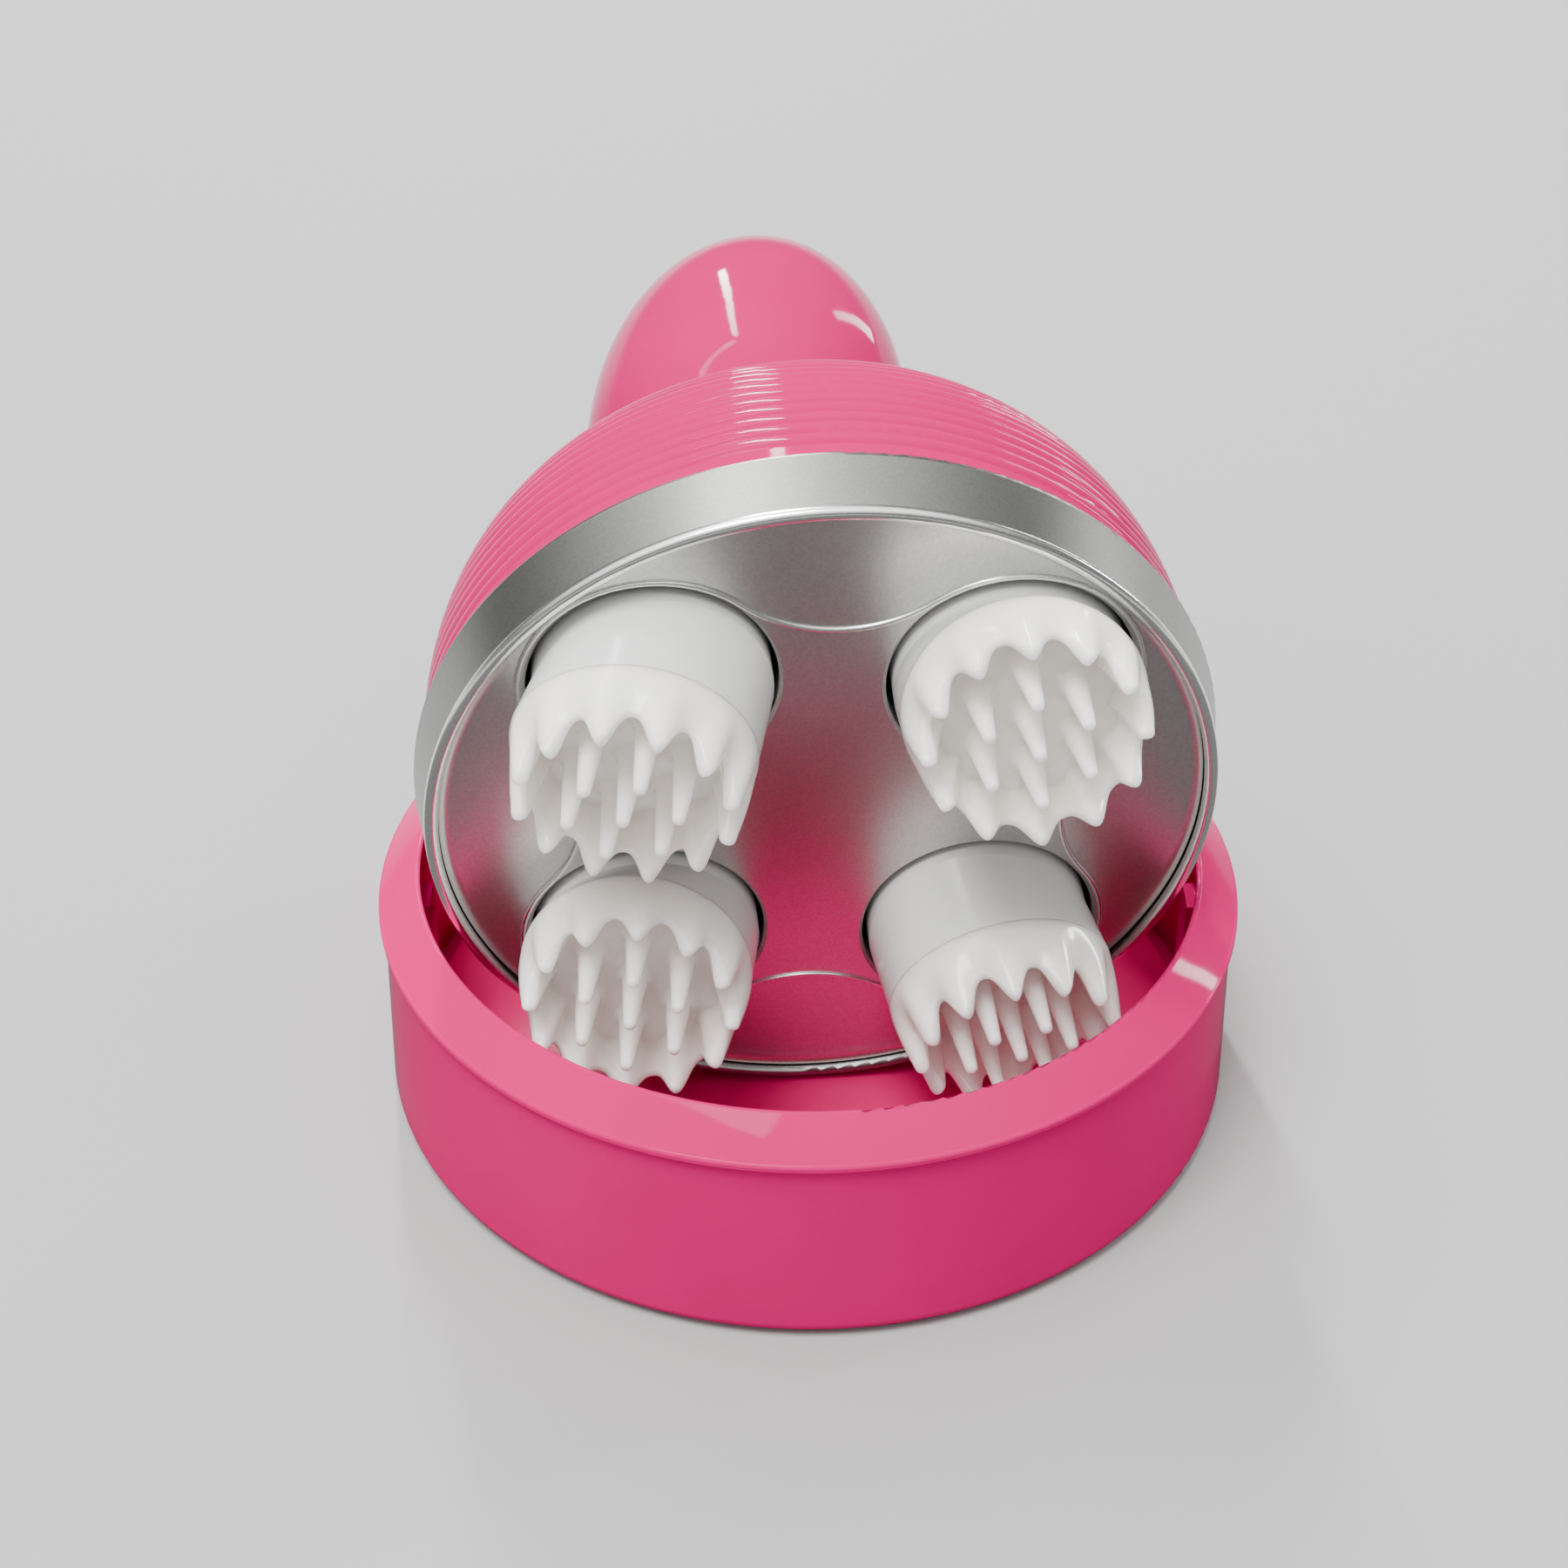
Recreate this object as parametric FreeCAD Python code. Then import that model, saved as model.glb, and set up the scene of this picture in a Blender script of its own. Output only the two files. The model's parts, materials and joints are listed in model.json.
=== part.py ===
import FreeCAD, Part
import math
import os

V = FreeCAD.Vector
Place = FreeCAD.Placement
Turn = FreeCAD.Rotation

os.makedirs("parts", exist_ok=True)

# How the massager leans in its cup, in degrees
LEAN = 8.5
ROLL = -2.0

# Gaps between pieces
SEAT = 0.03
RUN = 0.05
SLIP = 0.20
SEAM = 0.30
FREE = 0.45
EDGE = 0.3

# Massage heads: heights are measured from where the two axes of a head cross
HEAD_TILT = 12.0
PIVOT_S = 8.0
HEAD_LEAN_TO = (88.0, -144.0, 124.0, -52.0)
FINGER_TURN = (7.0, -25.0, 21.0, 0.0)
CUP_R = 13.2
CUP_T = 1.6
CUP_BOTTOM = 9.3
CUP_FLARE = 0.3
HUB_R = 4.4
SOFT_R = CUP_R + CUP_FLARE
SOFT_H = 14.2
SOFT_T = 2.4
SOFT_TOP = SOFT_H + SOFT_T
OUTER_FINGERS = 12
OUTER_RING = SOFT_R - 2.9
OUTER_TIP_RING = SOFT_R - 1.95
OUTER_TIP_H = SOFT_TOP + 7.0
OUTER_ROOT_R = 2.85
INNER_PITCH = 6.07
INNER_TIP_H = SOFT_TOP + 8.5
INNER_ROOT_R = 1.7
TIP_R = 0.85
SKIRT_OUT = SOFT_R - 1.25
SKIRT_IN = SOFT_R - 2.75
SKIRT_FLOOR = SOFT_R - 4.0
SKIRT_TOP = SOFT_TOP + 5.7
NOTCH_H = SOFT_TOP + 4.0
ARCH_R = 2.6

# Gear train, shafts and bushes
HOLE_CIRCLE = 28.0
SUN_TEETH = 32
HEAD_TEETH = 24
MODULE = 2 * HOLE_CIRCLE / (SUN_TEETH + HEAD_TEETH)
GEAR_PLAY = 0.16
GEAR_T = 5.0
SHAFT_R = 2.5
SHAFT_END = 0.6
DRIVE_R = 2.0
FRAME_T = 2.0
BUSH_R = SHAFT_R + 1.4
BUSH_FLANGE = BUSH_R + 1.3
BUSH_FLANGE_T = 0.8
SEAL_T = 0.6
GEARHEAD_R = 13.0
GEARHEAD_L = 9.5
GEARHEAD_BOSS_R = 6.0
MOTOR_R = 12.0
MOTOR_L = 12.0
MOTOR_BOSS_R = 3.0
MOTOR_BOSS_L = 1.0
MOTOR_ROOM = 0.7
MOTOR_SCREW_RING = GEARHEAD_R - 3.5
DRIVE_DEPTH = 7.2

# Face, band and heads' holes
HEAD_GAP = 0.7
HOLE_R = CUP_R + HEAD_GAP
LOBE_R = HOLE_R + 0.9
WAIST = HOLE_CIRCLE - 0.4
WELL_T = 1.0
WELL_RIM_T = 1.6
DOME_SPIGOT = 1.2
BAND_T = 1.9
BAND_S = 8.6
BAND_IN_R = HOLE_CIRCLE + HOLE_R + WELL_T + SEAM + DOME_SPIGOT + SLIP
BAND_R = BAND_IN_R + BAND_T
LIP_R = BAND_R - 1.3
LIP_IN_R = BAND_IN_R - 0.6
FACE_S = 1.6
BACK_S = FACE_S + 1.6
WELL_FLOOR = CUP_BOTTOM + 1.0
WELL_BACK = WELL_FLOOR + 1.7
GEAR_S = WELL_BACK + BUSH_FLANGE_T + 0.4
FRAME_S = GEAR_S + GEAR_T + 1.0 + BUSH_FLANGE_T
FRAME_R = BAND_IN_R - 4.1
PILLAR_RING = BAND_IN_R - 8.6
PILLAR_R = 3.2
CASE_SCREW_R = 1.05
CASE_HEAD_R = 2.4

# Dome
DOME_R = BAND_R - 0.9
DOME_T = 2.3
DOME_S = BAND_S + SEAM
DOME_D = FRAME_S + FRAME_T + GEARHEAD_L + MOTOR_L + MOTOR_BOSS_L + MOTOR_ROOM + DOME_T - DOME_S
DOME_E = 2.74
GROOVES = 20
GROOVE_PITCH = 2.0
GROOVE_FIRST = 2.4
GROOVE_DEPTH = 0.28

# Battery, board, button and charge inlet, along the handle's own axis
CELL_R = 8.1
CELL_L = 34.0
SLEEVE_T = 1.2
CELL_GAP = 1.4
BUTTON_R = 6.5
BUTTON_STROKE = 0.8
BUTTON_DEPTH = 7.5
BUTTON_FLANGE = 1.4
BUTTON_FLANGE_T = 1.1
COLLAR_T = 1.35
BOARD_T = 1.6
POST_R = 2.6
PORT_W = 8.94
PORT_H = 3.26
PORT_WALL = 0.3
PORT_DEPTH = 7.3
LID_EDGE = 1.9
LID_T = 1.2

# Handle
KNOB_X = -3.2
KNOB_TILT = 8.0
KNOB_T = 2.2
KNOB_L = 36.6
NECK_HEAD_R = 1.9
NECK_BOSS_R = 3.0
NECK_RING = CELL_R + SLIP + SLEEVE_T + NECK_BOSS_R + 0.5
NECK_R = NECK_RING + NECK_BOSS_R + 1.6
KNOB_R = NECK_R + 3.65
BOARD_T0 = KNOB_L - 21.2
BOARD_R = KNOB_R - 6.95
POST_RING = BOARD_R - 2.8
PORT_OUT = KNOB_R - 6.85
NECK_L = CELL_L - BOARD_T0 + 5.6
KNOB_S = DOME_S + DOME_D + NECK_L

# Cup
CUP_PLAY = 1.2
CUP_WALL = 2.2
CUP_SPREAD = 0.65
CUP_EDGE = 25.6
RIM_W = 5.3
RIM_H = 4.8
RIM_OVER = 0.65
RIM_IN_R = BAND_R + CUP_PLAY
RIM_R = RIM_IN_R + RIM_W
RIM_TOP = CUP_EDGE + RIM_H
CUP_TOP_R = RIM_R - RIM_OVER
CUP_FOOT_R = CUP_TOP_R + CUP_SPREAD
FOOT_ROUND = 1.5
SPIGOT_T = 1.25
SPIGOT_OUT = CUP_TOP_R - CUP_WALL - 0.1 - SLIP
SPIGOT_R = SPIGOT_OUT - SPIGOT_T
SPIGOT_Z = CUP_EDGE - 2.0
RIB_COUNT = 12
RIB_FIRST = 25.0
RIB_WIDTH = 5.0
RIB_IN_R = SPIGOT_R - 1.5
RIB_TOP = SPIGOT_Z - 0.6
TRAY_SNAP = 1.35
TRAY_R = RIB_IN_R + TRAY_SNAP
LEDGE_R = TRAY_R - 1.75
PAD_R = LEDGE_R - 2.2
PAD_H = 0.8
SHELL_Z = PAD_H - 0.2
LEDGE_Z = SHELL_Z + 1.2
FLOOR_Z = LEDGE_Z + 1.4
SCREW_RING = LEDGE_R - 5.7
CUP_SCREW_R = 1.22
CUP_SCREW_HEAD_R = 2.9
CUP_SCREW_HEAD_H = 0.75
CUP_SCREW_L = 5.4
CUP_BOSS_R = 3.0
CUP_BOSS_H = 4.8
CRADLE_X = 13.0
CRADLE_T = 3.0
CRADLE_BASE_T = 1.6
CRADLE_TOP = FLOOR_Z + 16.8
CRADLE_Y = RIM_IN_R - 11.7
CRADLE_L = 32.0

# Middle of the face's front plane: the band clears the floor, and the heads clear the rim
TIP_ROOM = 4.9
FACE_Y = OUTER_TIP_H + TIP_ROOM - RIM_IN_R
FACE_Z = (FLOOR_Z + FREE + BAND_R * math.cos(math.radians(LEAN))
          - (BAND_S - 0.9) * math.sin(math.radians(LEAN)))

POSE = Place(V(0, FACE_Y, FACE_Z), Turn(V(1, 0, 0), 90 + LEAN))
KNOB = Place(V(KNOB_X, 0, -KNOB_S), Turn(V(0, 1, 0), 180 - KNOB_TILT))
TIP = Place(V(0, 0, -PIVOT_S), Turn(V(0, 1, 0), HEAD_TILT))


# One positive solid out of a boolean result
def whole(shape):
    solids = shape.Solids
    if len(solids) != 1:
        raise ValueError("expected one solid, found %d" % len(solids))
    solid = solids[0]
    if solid.Volume < 0:
        solid.reverse()
    return solid


# A turned solid: (r, h) draws a line, (r, h, r via, h via) an arc, a list of points a spline
def turned(path, up=1.0):
    here = V(path[0][0], 0, up * path[0][1])
    edges = []
    for step in path[1:] + path[:1]:
        if isinstance(step, list):
            points = [here] + [V(r, 0, up * h) for r, h in step]
            curve = Part.BSplineCurve()
            curve.interpolate(points)
            edges.append(curve.toShape())
            here = points[-1]
            continue
        there = V(step[0], 0, up * step[1])
        if len(step) == 4:
            edges.append(Part.Arc(here, V(step[2], 0, up * step[3]), there).toShape())
        elif (there - here).Length > 1e-6:
            edges.append(Part.makeLine(here, there))
        here = there
    face = Part.Face(Part.Wire(edges))
    return whole(Part.makeCompound([face.revolve(V(0, 0, 0), V(0, 0, 1), 360)]))


def tube(r_out, r_in, h0, h1):
    outer = Part.makeCylinder(r_out, h1 - h0, V(0, 0, h0))
    return outer.cut(Part.makeCylinder(r_in, h1 - h0 + 2, V(0, 0, h0 - 1)))


def rod(r, h0, h1, x=0.0, y=0.0):
    return Part.makeCylinder(r, h1 - h0, V(x, y, h0))


def placed(shape, *places):
    for place in places:
        shape = shape.transformed(place.toMatrix(), copy=True)
    return shape


def ring_points(radius, count, first):
    step = 360.0 / count
    return [
        (radius * math.cos(math.radians(first + i * step)), radius * math.sin(math.radians(first + i * step)))
        for i in range(count)
    ]


def save(name, shape):
    if not shape.isValid():
        raise ValueError(name + " is not valid")
    shape.exportStep("parts/%s.step" % name)


def save_group(name, solids):
    save(name, Part.makeCompound(solids))


HOLES = ring_points(HOLE_CIRCLE, 4, 45 + ROLL)
PILLARS = ring_points(PILLAR_RING, 4, ROLL)
CUP_SCREWS = ring_points(SCREW_RING, 4, 45)
NECK_SPOTS = ring_points(NECK_RING, 3, 90)
POSTS = ring_points(POST_RING, 3, 90)


# Cup shell: wall that spreads a little towards its rounded foot, with a ledge and upright ribs inside
def cup_shell():
    foot_in = CUP_FOOT_R - CUP_WALL
    top_in = CUP_TOP_R - CUP_WALL
    wall = turned([
        (LEDGE_R, SHELL_Z),
        (CUP_FOOT_R - FOOT_ROUND, SHELL_Z),
        (CUP_FOOT_R, SHELL_Z + FOOT_ROUND, CUP_FOOT_R - 0.293 * FOOT_ROUND, SHELL_Z + 0.293 * FOOT_ROUND),
        (CUP_TOP_R, CUP_EDGE),
        (top_in, CUP_EDGE),
        (foot_in, LEDGE_Z),
        (LEDGE_R, LEDGE_Z),
    ])
    bottom = FLOOR_Z + SEAM
    reach = (foot_in + top_in + CUP_WALL) / 2
    ring = tube(reach, RIB_IN_R, bottom, RIB_TOP)
    ribs = []
    for i in range(RIB_COUNT):
        rib = Part.makeBox(2 * CUP_WALL + reach - RIB_IN_R, RIB_WIDTH, RIB_TOP - bottom,
                           V(RIB_IN_R - CUP_WALL, -RIB_WIDTH / 2, bottom))
        rib.rotate(V(0, 0, 0), V(0, 0, 1), RIB_FIRST + i * 360.0 / RIB_COUNT)
        ribs.append(rib.common(ring))
    return whole(wall.multiFuse(ribs))


# Sloped rim with a rolled outer edge, and a spigot that drops inside the wall
def cup_rim():
    lift = CUP_EDGE + 0.5
    outer = (RIM_R - 0.35, lift + 0.55)
    inner = (RIM_IN_R + 0.65, RIM_TOP - 0.2)
    return turned([
        (SPIGOT_OUT + SLIP, CUP_EDGE),
        (RIM_R - 0.3, CUP_EDGE),
        (RIM_R, lift - 0.1, RIM_R - 0.04, CUP_EDGE + 0.12),
        outer + (RIM_R - 0.05, lift + 0.3),
        inner + ((outer[0] + inner[0]) / 2 + 0.05, (outer[1] + inner[1]) / 2 + 0.075),
        (RIM_IN_R, RIM_TOP - 0.75, RIM_IN_R + 0.15, RIM_TOP - 0.15),
        (RIM_IN_R, RIM_TOP - 2.1),
        (SPIGOT_R, RIM_TOP - 3.0),
        (SPIGOT_R, SPIGOT_Z),
        (SPIGOT_OUT, SPIGOT_Z),
        (SPIGOT_OUT, CUP_EDGE - 0.3),
    ])


# Tray: the floor, which snaps in under the shell's ribs, with bosses for the screws
def cup_tray():
    bosses = [rod(CUP_BOSS_R, LEDGE_Z, FLOOR_Z + CUP_BOSS_H, x, y) for x, y in CUP_SCREWS]
    tray = rod(TRAY_R, LEDGE_Z, FLOOR_Z).multiFuse(bosses)
    holes = [rod(CUP_SCREW_R + SEAT, LEDGE_Z - 1, FLOOR_Z + CUP_BOSS_H - 1, x, y) for x, y in CUP_SCREWS]
    return whole(tray.cut(holes).removeSplitter())


# Cradle: two ribs on a base plate, hollowed to carry the dome
def cup_cradle(dome_room):
    half = CRADLE_X + CRADLE_T / 2
    front = CRADLE_Y - CRADLE_L
    base = Part.makeBox(2 * half, CRADLE_L, CRADLE_BASE_T, V(-half, front, FLOOR_Z))
    ribs = [Part.makeBox(CRADLE_T, CRADLE_L, CRADLE_TOP - FLOOR_Z, V(x, front, FLOOR_Z))
            for x in (-half, half - CRADLE_T)]
    return whole(base.multiFuse(ribs).cut(dome_room).removeSplitter())


# Steel weight under the tray, with countersunk holes for its screws
def cup_weight():
    plate = rod(LEDGE_R - SLIP, PAD_H, LEDGE_Z)
    head_r = CUP_SCREW_HEAD_R + SLIP
    through = CUP_SCREW_R + SLIP
    for x, y in CUP_SCREWS:
        plate = plate.cut(rod(through, 0, LEDGE_Z + 1, x, y))
        plate = plate.cut(rod(head_r, 0, PAD_H + 0.15, x, y))
        plate = plate.cut(Part.makeCone(head_r, through, CUP_SCREW_HEAD_H - 0.1, V(x, y, PAD_H + 0.15)))
    return whole(plate)


def flat_screw(r, head_r, head_h, length):
    return turned([(0, 0), (head_r, 0), (head_r, 0.1), (r, head_h), (r, length), (0, length)])


def pan_screw(r, head_r, head_h, length):
    body = turned([
        (0, -head_h), (head_r * 0.7, -head_h), (head_r, -head_h * 0.4, head_r * 0.93, -head_h * 0.85),
        (head_r, 0), (r, 0), (r, length), (0, length),
    ])
    slots = [Part.makeBox(head_r * 1.1, 0.4, head_h * 0.5 + 1, V(-head_r * 0.55, -0.2, -head_h - 1))]
    slots.append(Part.makeBox(0.4, head_r * 1.1, head_h * 0.5 + 1, V(-0.2, -head_r * 0.55, -head_h - 1)))
    return whole(body.cut(slots))


# Silver band with a rolled front lip, stepped inside to be clamped
def trim_band():
    return turned([
        (LIP_IN_R, BACK_S),
        (LIP_IN_R, 0.7),
        (LIP_R - 0.55, 0.0, LIP_IN_R + 0.19, 0.2),
        (LIP_R, 0.9, LIP_R - 0.14, 0.24),
        (BAND_R, BAND_S - 0.9),
        (BAND_R - 0.5, BAND_S, BAND_R - 0.06, BAND_S - 0.3),
        (BAND_IN_R, BAND_S),
        (BAND_IN_R, BACK_S),
    ], -1)


# Four lobes round the holes joined by hollow waists, as one closed outline
def quatrefoil(grow, s0, s1):
    half = HOLE_CIRCLE / math.sqrt(2)
    spread = 2 * half * half - 2 * half * WAIST + WAIST * WAIST - LOBE_R * LOBE_R
    hollow = spread / (2 * (LOBE_R + half - WAIST))
    reach = WAIST + hollow
    lobe = LOBE_R + grow
    hollow = hollow - grow
    edges = []
    start = None
    for i in range(4):
        a = math.radians(45 + 90 * i)
        b = math.radians(90 + 90 * i)
        c = V(HOLE_CIRCLE * math.cos(a), HOLE_CIRCLE * math.sin(a), 0)
        before = V(reach * math.cos(b - math.pi / 2), reach * math.sin(b - math.pi / 2), 0)
        after = V(reach * math.cos(b), reach * math.sin(b), 0)
        p0 = c + (before - c).normalize() * lobe
        p1 = c + (after - c).normalize() * lobe
        far = c + V(math.cos(a), math.sin(a), 0) * lobe
        edges.append(Part.Arc(p0, far, p1).toShape())
        n = V(HOLE_CIRCLE * math.cos(a + math.pi / 2), HOLE_CIRCLE * math.sin(a + math.pi / 2), 0)
        p2 = n + (after - n).normalize() * lobe
        edges.append(Part.Arc(p1, after - V(math.cos(b), math.sin(b), 0) * hollow, p2).toShape())
    face = Part.Face(Part.Wire(edges))
    face.rotate(V(0, 0, 0), V(0, 0, 1), ROLL)
    face.translate(V(0, 0, -s1))
    return face.extrude(V(0, 0, s1 - s0))


# Dished silver face with the lobed opening
def face_plate():
    r = LIP_IN_R - SEAM
    plate = turned([
        (0, FACE_S), (r - 4.5, FACE_S), (r - 0.6, 0.75, r - 2.2, 1.3), (r, 1.1, r - 0.1, 0.8),
        (r, BACK_S), (0, BACK_S),
    ], -1)
    return whole(plate.cut(quatrefoil(SEAM / 2, FACE_S - 2, BACK_S + 1)))


# Lobed silver insert with the four head holes
def face_insert():
    plate = quatrefoil(-SEAM / 2, FACE_S + 0.1, BACK_S)
    for x, y in HOLES:
        plate = plate.cut(rod(HOLE_R, -BACK_S - 1, 1, x, y))
        plate = plate.cut(Part.makeCone(HOLE_R, HOLE_R + 0.5, 0.5, V(x, y, -FACE_S - 0.5)))
    return whole(plate)


# Front half of the gear case: a plate with four wells for the heads and four screw pillars
def well_plate():
    back = BACK_S + WELL_RIM_T
    plate = turned([(0, BACK_S), (BAND_IN_R - SLIP, BACK_S), (BAND_IN_R - SLIP, back), (0, back)], -1)
    walls = []
    for x, y in HOLES:
        walls.append(rod(HOLE_R + WELL_T, -WELL_BACK, -BACK_S - 0.4, x, y))
    for x, y in PILLARS:
        walls.append(rod(PILLAR_R, -FRAME_S, -BACK_S - 0.4, x, y))
    plate = plate.multiFuse(walls)
    for x, y in HOLES:
        plate = plate.cut(rod(HOLE_R, -WELL_FLOOR, 0, x, y))
        plate = plate.cut(rod(BUSH_R + SEAT, -WELL_BACK - 1, 0, x, y))
    for x, y in PILLARS:
        plate = plate.cut(rod(CASE_SCREW_R + FREE, -FRAME_S - 1, 0, x, y))
        plate = plate.cut(rod(CASE_HEAD_R + SEAM, -back - 0.1, 0, x, y))
    return whole(plate)


# Rear gear plate that carries the motor and the rear bushes
def gear_frame():
    low = -FRAME_S - FRAME_T
    holes = [rod(GEARHEAD_BOSS_R + SLIP, low - 1, 0)]
    for x, y in HOLES:
        holes.append(rod(BUSH_R + SEAT, low - 1, 0, x, y))
    for x, y in PILLARS:
        holes.append(rod(CASE_SCREW_R + FREE, low - 1, 0, x, y))
    for x, y in ring_points(PILLAR_RING - 11, 4, ROLL):
        holes.append(rod(5.5, low - 1, 0, x, y))
    for x, y in ring_points(MOTOR_SCREW_RING, 2, ROLL):
        holes.append(rod(1.2, low - 1, 0, x, y))
    return whole(rod(FRAME_R, low, -FRAME_S).cut(holes))


# Flanged bush with its sleeve in the plate: side -1 puts the flange behind the plate
def bush(flange_s0, flange_s1, s0, s1):
    body = rod(BUSH_R, -s1, -s0).fuse(rod(BUSH_FLANGE, -flange_s1, -flange_s0))
    return whole(body.cut(rod(SHAFT_R + RUN, -s1 - 1, -s0 + 1)))


# Spur gear with involute flanks, thinned for play, centred on a tooth at angle zero
def spur_gear(teeth, bore):
    pitch = MODULE * teeth / 2
    base = pitch * math.cos(math.radians(20))
    tip = pitch + 0.95 * MODULE
    root = pitch - 1.25 * MODULE
    half = (math.pi * MODULE / 2 - GEAR_PLAY) / (2 * pitch)
    lead = math.tan(math.radians(20)) - math.radians(20)

    def half_angle(r):
        a = math.acos(min(1.0, base / max(r, base)))
        return half + lead - (math.tan(a) - a)

    radii = [root, pitch - 0.5 * MODULE, pitch + 0.15 * MODULE, tip]
    points = []
    for i in range(teeth):
        mid = 2 * math.pi * i / teeth
        flank = [(r, -half_angle(r)) for r in radii] + [(r, half_angle(r)) for r in reversed(radii)]
        for r, a in flank:
            points.append(V(r * math.cos(mid + a), r * math.sin(mid + a), -GEAR_S - GEAR_T))
    face = Part.Face(Part.makePolygon(points + points[:1]))
    return whole(face.extrude(V(0, 0, GEAR_T)).cut(rod(bore, -GEAR_S - GEAR_T - 1, 0)))


# Output shaft: plain steel pin
def output_shaft():
    end = FRAME_S + FRAME_T + 1.0
    return turned([
        (0, SHAFT_END), (SHAFT_R - 0.4, SHAFT_END), (SHAFT_R, SHAFT_END + 0.4), (SHAFT_R, end - 0.4),
        (SHAFT_R - 0.4, end), (0, end),
    ], -1)


def tilted_circle(r, h):
    return Part.Wire(placed(Part.makeCircle(r, V(0, 0, h)), TIP))


# Skewed head cup: round in its hole, leaning over to a tilted seat, hollow with a hub
def head_cup():
    def skin(r0, r1, bottom, h):
        lip = Part.Wire(Part.makeCircle(r0, V(0, 0, -SHAFT_END)))
        return rod(r0, -bottom, -SHAFT_END).fuse(Part.makeLoft([lip, tilted_circle(r1, h)], True, True))

    outer = skin(CUP_R, SOFT_R - RUN, CUP_BOTTOM, SOFT_H)
    inner = skin(CUP_R - CUP_T, SOFT_R - RUN - CUP_T, CUP_BOTTOM + 1, SOFT_H - CUP_T)
    hub = rod(HUB_R, -CUP_BOTTOM, SOFT_H - PIVOT_S - CUP_T)
    cup = outer.cut(inner).fuse(hub)
    return whole(cup.cut(rod(SHAFT_R + SEAT, -CUP_BOTTOM - 1, -SHAFT_END)))


# One tapered finger with a round tip, standing on its base
def finger(base_r, length):
    slope = (base_r - TIP_R) / (length - TIP_R)
    lean = math.atan(slope)
    side_r = TIP_R * math.cos(lean)
    side_h = length - TIP_R + TIP_R * math.sin(lean)
    mid = (math.pi / 2 + lean) / 2
    return turned([
        (0, 0), (base_r, 0), (side_r, side_h),
        (0, length, TIP_R * math.cos(mid), length - TIP_R + TIP_R * math.sin(mid)),
    ])


# Soft head: a cupped disc whose skirt is cut by arches into teeth, and seven inner fingers
def soft_head():
    h = SOFT_H
    top = SOFT_TOP
    crest = (SKIRT_OUT + SKIRT_IN) / 2
    body = turned([
        (0, h), (SOFT_R - EDGE, h), (SOFT_R, h + EDGE, SOFT_R - 0.293 * EDGE, h + 0.293 * EDGE),
        (SOFT_R, top - 0.8),
        (SKIRT_OUT, SKIRT_TOP - EDGE), (SKIRT_IN, SKIRT_TOP - EDGE, crest, SKIRT_TOP),
        (SKIRT_FLOOR, top + 0.9), (SKIRT_FLOOR - 0.9, top, SKIRT_FLOOR - 0.26, top + 0.26), (0, top),
    ])
    arch = Part.makeCylinder(ARCH_R, SOFT_R, V(SKIRT_FLOOR - 2, 0, NOTCH_H + ARCH_R), V(1, 0, 0))
    step = 360.0 / OUTER_FINGERS
    arches = []
    fingers = []
    foot_h = top - 1.5
    long = OUTER_TIP_H - foot_h
    lean = math.degrees(math.atan((OUTER_TIP_RING - OUTER_RING) / (long - TIP_R)))
    for i in range(OUTER_FINGERS):
        gap = arch.copy()
        gap.rotate(V(0, 0, 0), V(0, 0, 1), (i + 0.5) * step)
        arches.append(gap)
        one = finger(OUTER_ROOT_R, long)
        one.rotate(V(0, 0, 0), V(0, 1, 0), lean)
        one.translate(V(OUTER_RING, 0, foot_h))
        one.rotate(V(0, 0, 0), V(0, 0, 1), i * step)
        fingers.append(one)
    foot_h = top - 0.6
    for x, y in [(0, 0)] + ring_points(INNER_PITCH, 6, 0):
        one = finger(INNER_ROOT_R, INNER_TIP_H - foot_h)
        one.translate(V(x, y, foot_h))
        fingers.append(one)
    return whole(body.cut(arches).multiFuse(fingers))


# Points of the dome's outline at a given distance along it, grown or shrunk by an offset
def dome_line(grow):
    line = []
    for i in range(1201):
        u = math.pi / 2 * i / 1200
        line.append(((DOME_R + grow) * math.cos(u) ** (2 / DOME_E),
                     DOME_S + (DOME_D + grow) * math.sin(u) ** (2 / DOME_E)))
    return line


def along(line, wanted):
    run = 0.0
    for (r0, s0), (r1, s1) in zip(line, line[1:]):
        step = math.hypot(r1 - r0, s1 - s0)
        if run + step >= wanted:
            k = (wanted - run) / step
            return r0 + k * (r1 - r0), s0 + k * (s1 - s0), (s1 - s0) / step, -(r1 - r0) / step
        run += step
    raise ValueError("past the end of the dome line")


def length_to(line, r_end):
    run = 0.0
    for (r0, s0), (r1, s1) in zip(line, line[1:]):
        if r1 < r_end:
            return run
        run += math.hypot(r1 - r0, s1 - s0)
    return run


def smooth_part(line, l0, l1, count):
    return [along(line, l0 + (l1 - l0) * i / count)[:2] for i in range(1, count + 1)]


# Plain dome body, used to shape what sits against it
def dome_solid(grow):
    line = dome_line(grow)
    end = length_to(line, 1.5)
    points = smooth_part(line, 0.0, end, 40)
    return turned([(0, BAND_S), (DOME_R + grow, BAND_S), (DOME_R + grow, DOME_S), points,
                   (0, DOME_S + DOME_D + grow)], -1)


# Height along the handle's axis where a line beside that axis meets the dome's surface
def crown_at(x, y, grow):
    t = -NECK_L
    for _ in range(20):
        p = KNOB.multVec(V(x, y, t))
        k = 1 - (math.hypot(p.x, p.y) / (DOME_R + grow)) ** DOME_E
        t += (DOME_S + (DOME_D + grow) * k ** (1 / DOME_E) + p.z) / math.cos(math.radians(KNOB_TILT))
    return t


# Seats of the screws that hold the handle, sunk 1 mm into the crown from inside
def neck_seats():
    return [(x, y, crown_at(x, y, -DOME_T) + 1.0) for x, y in NECK_SPOTS]


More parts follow.
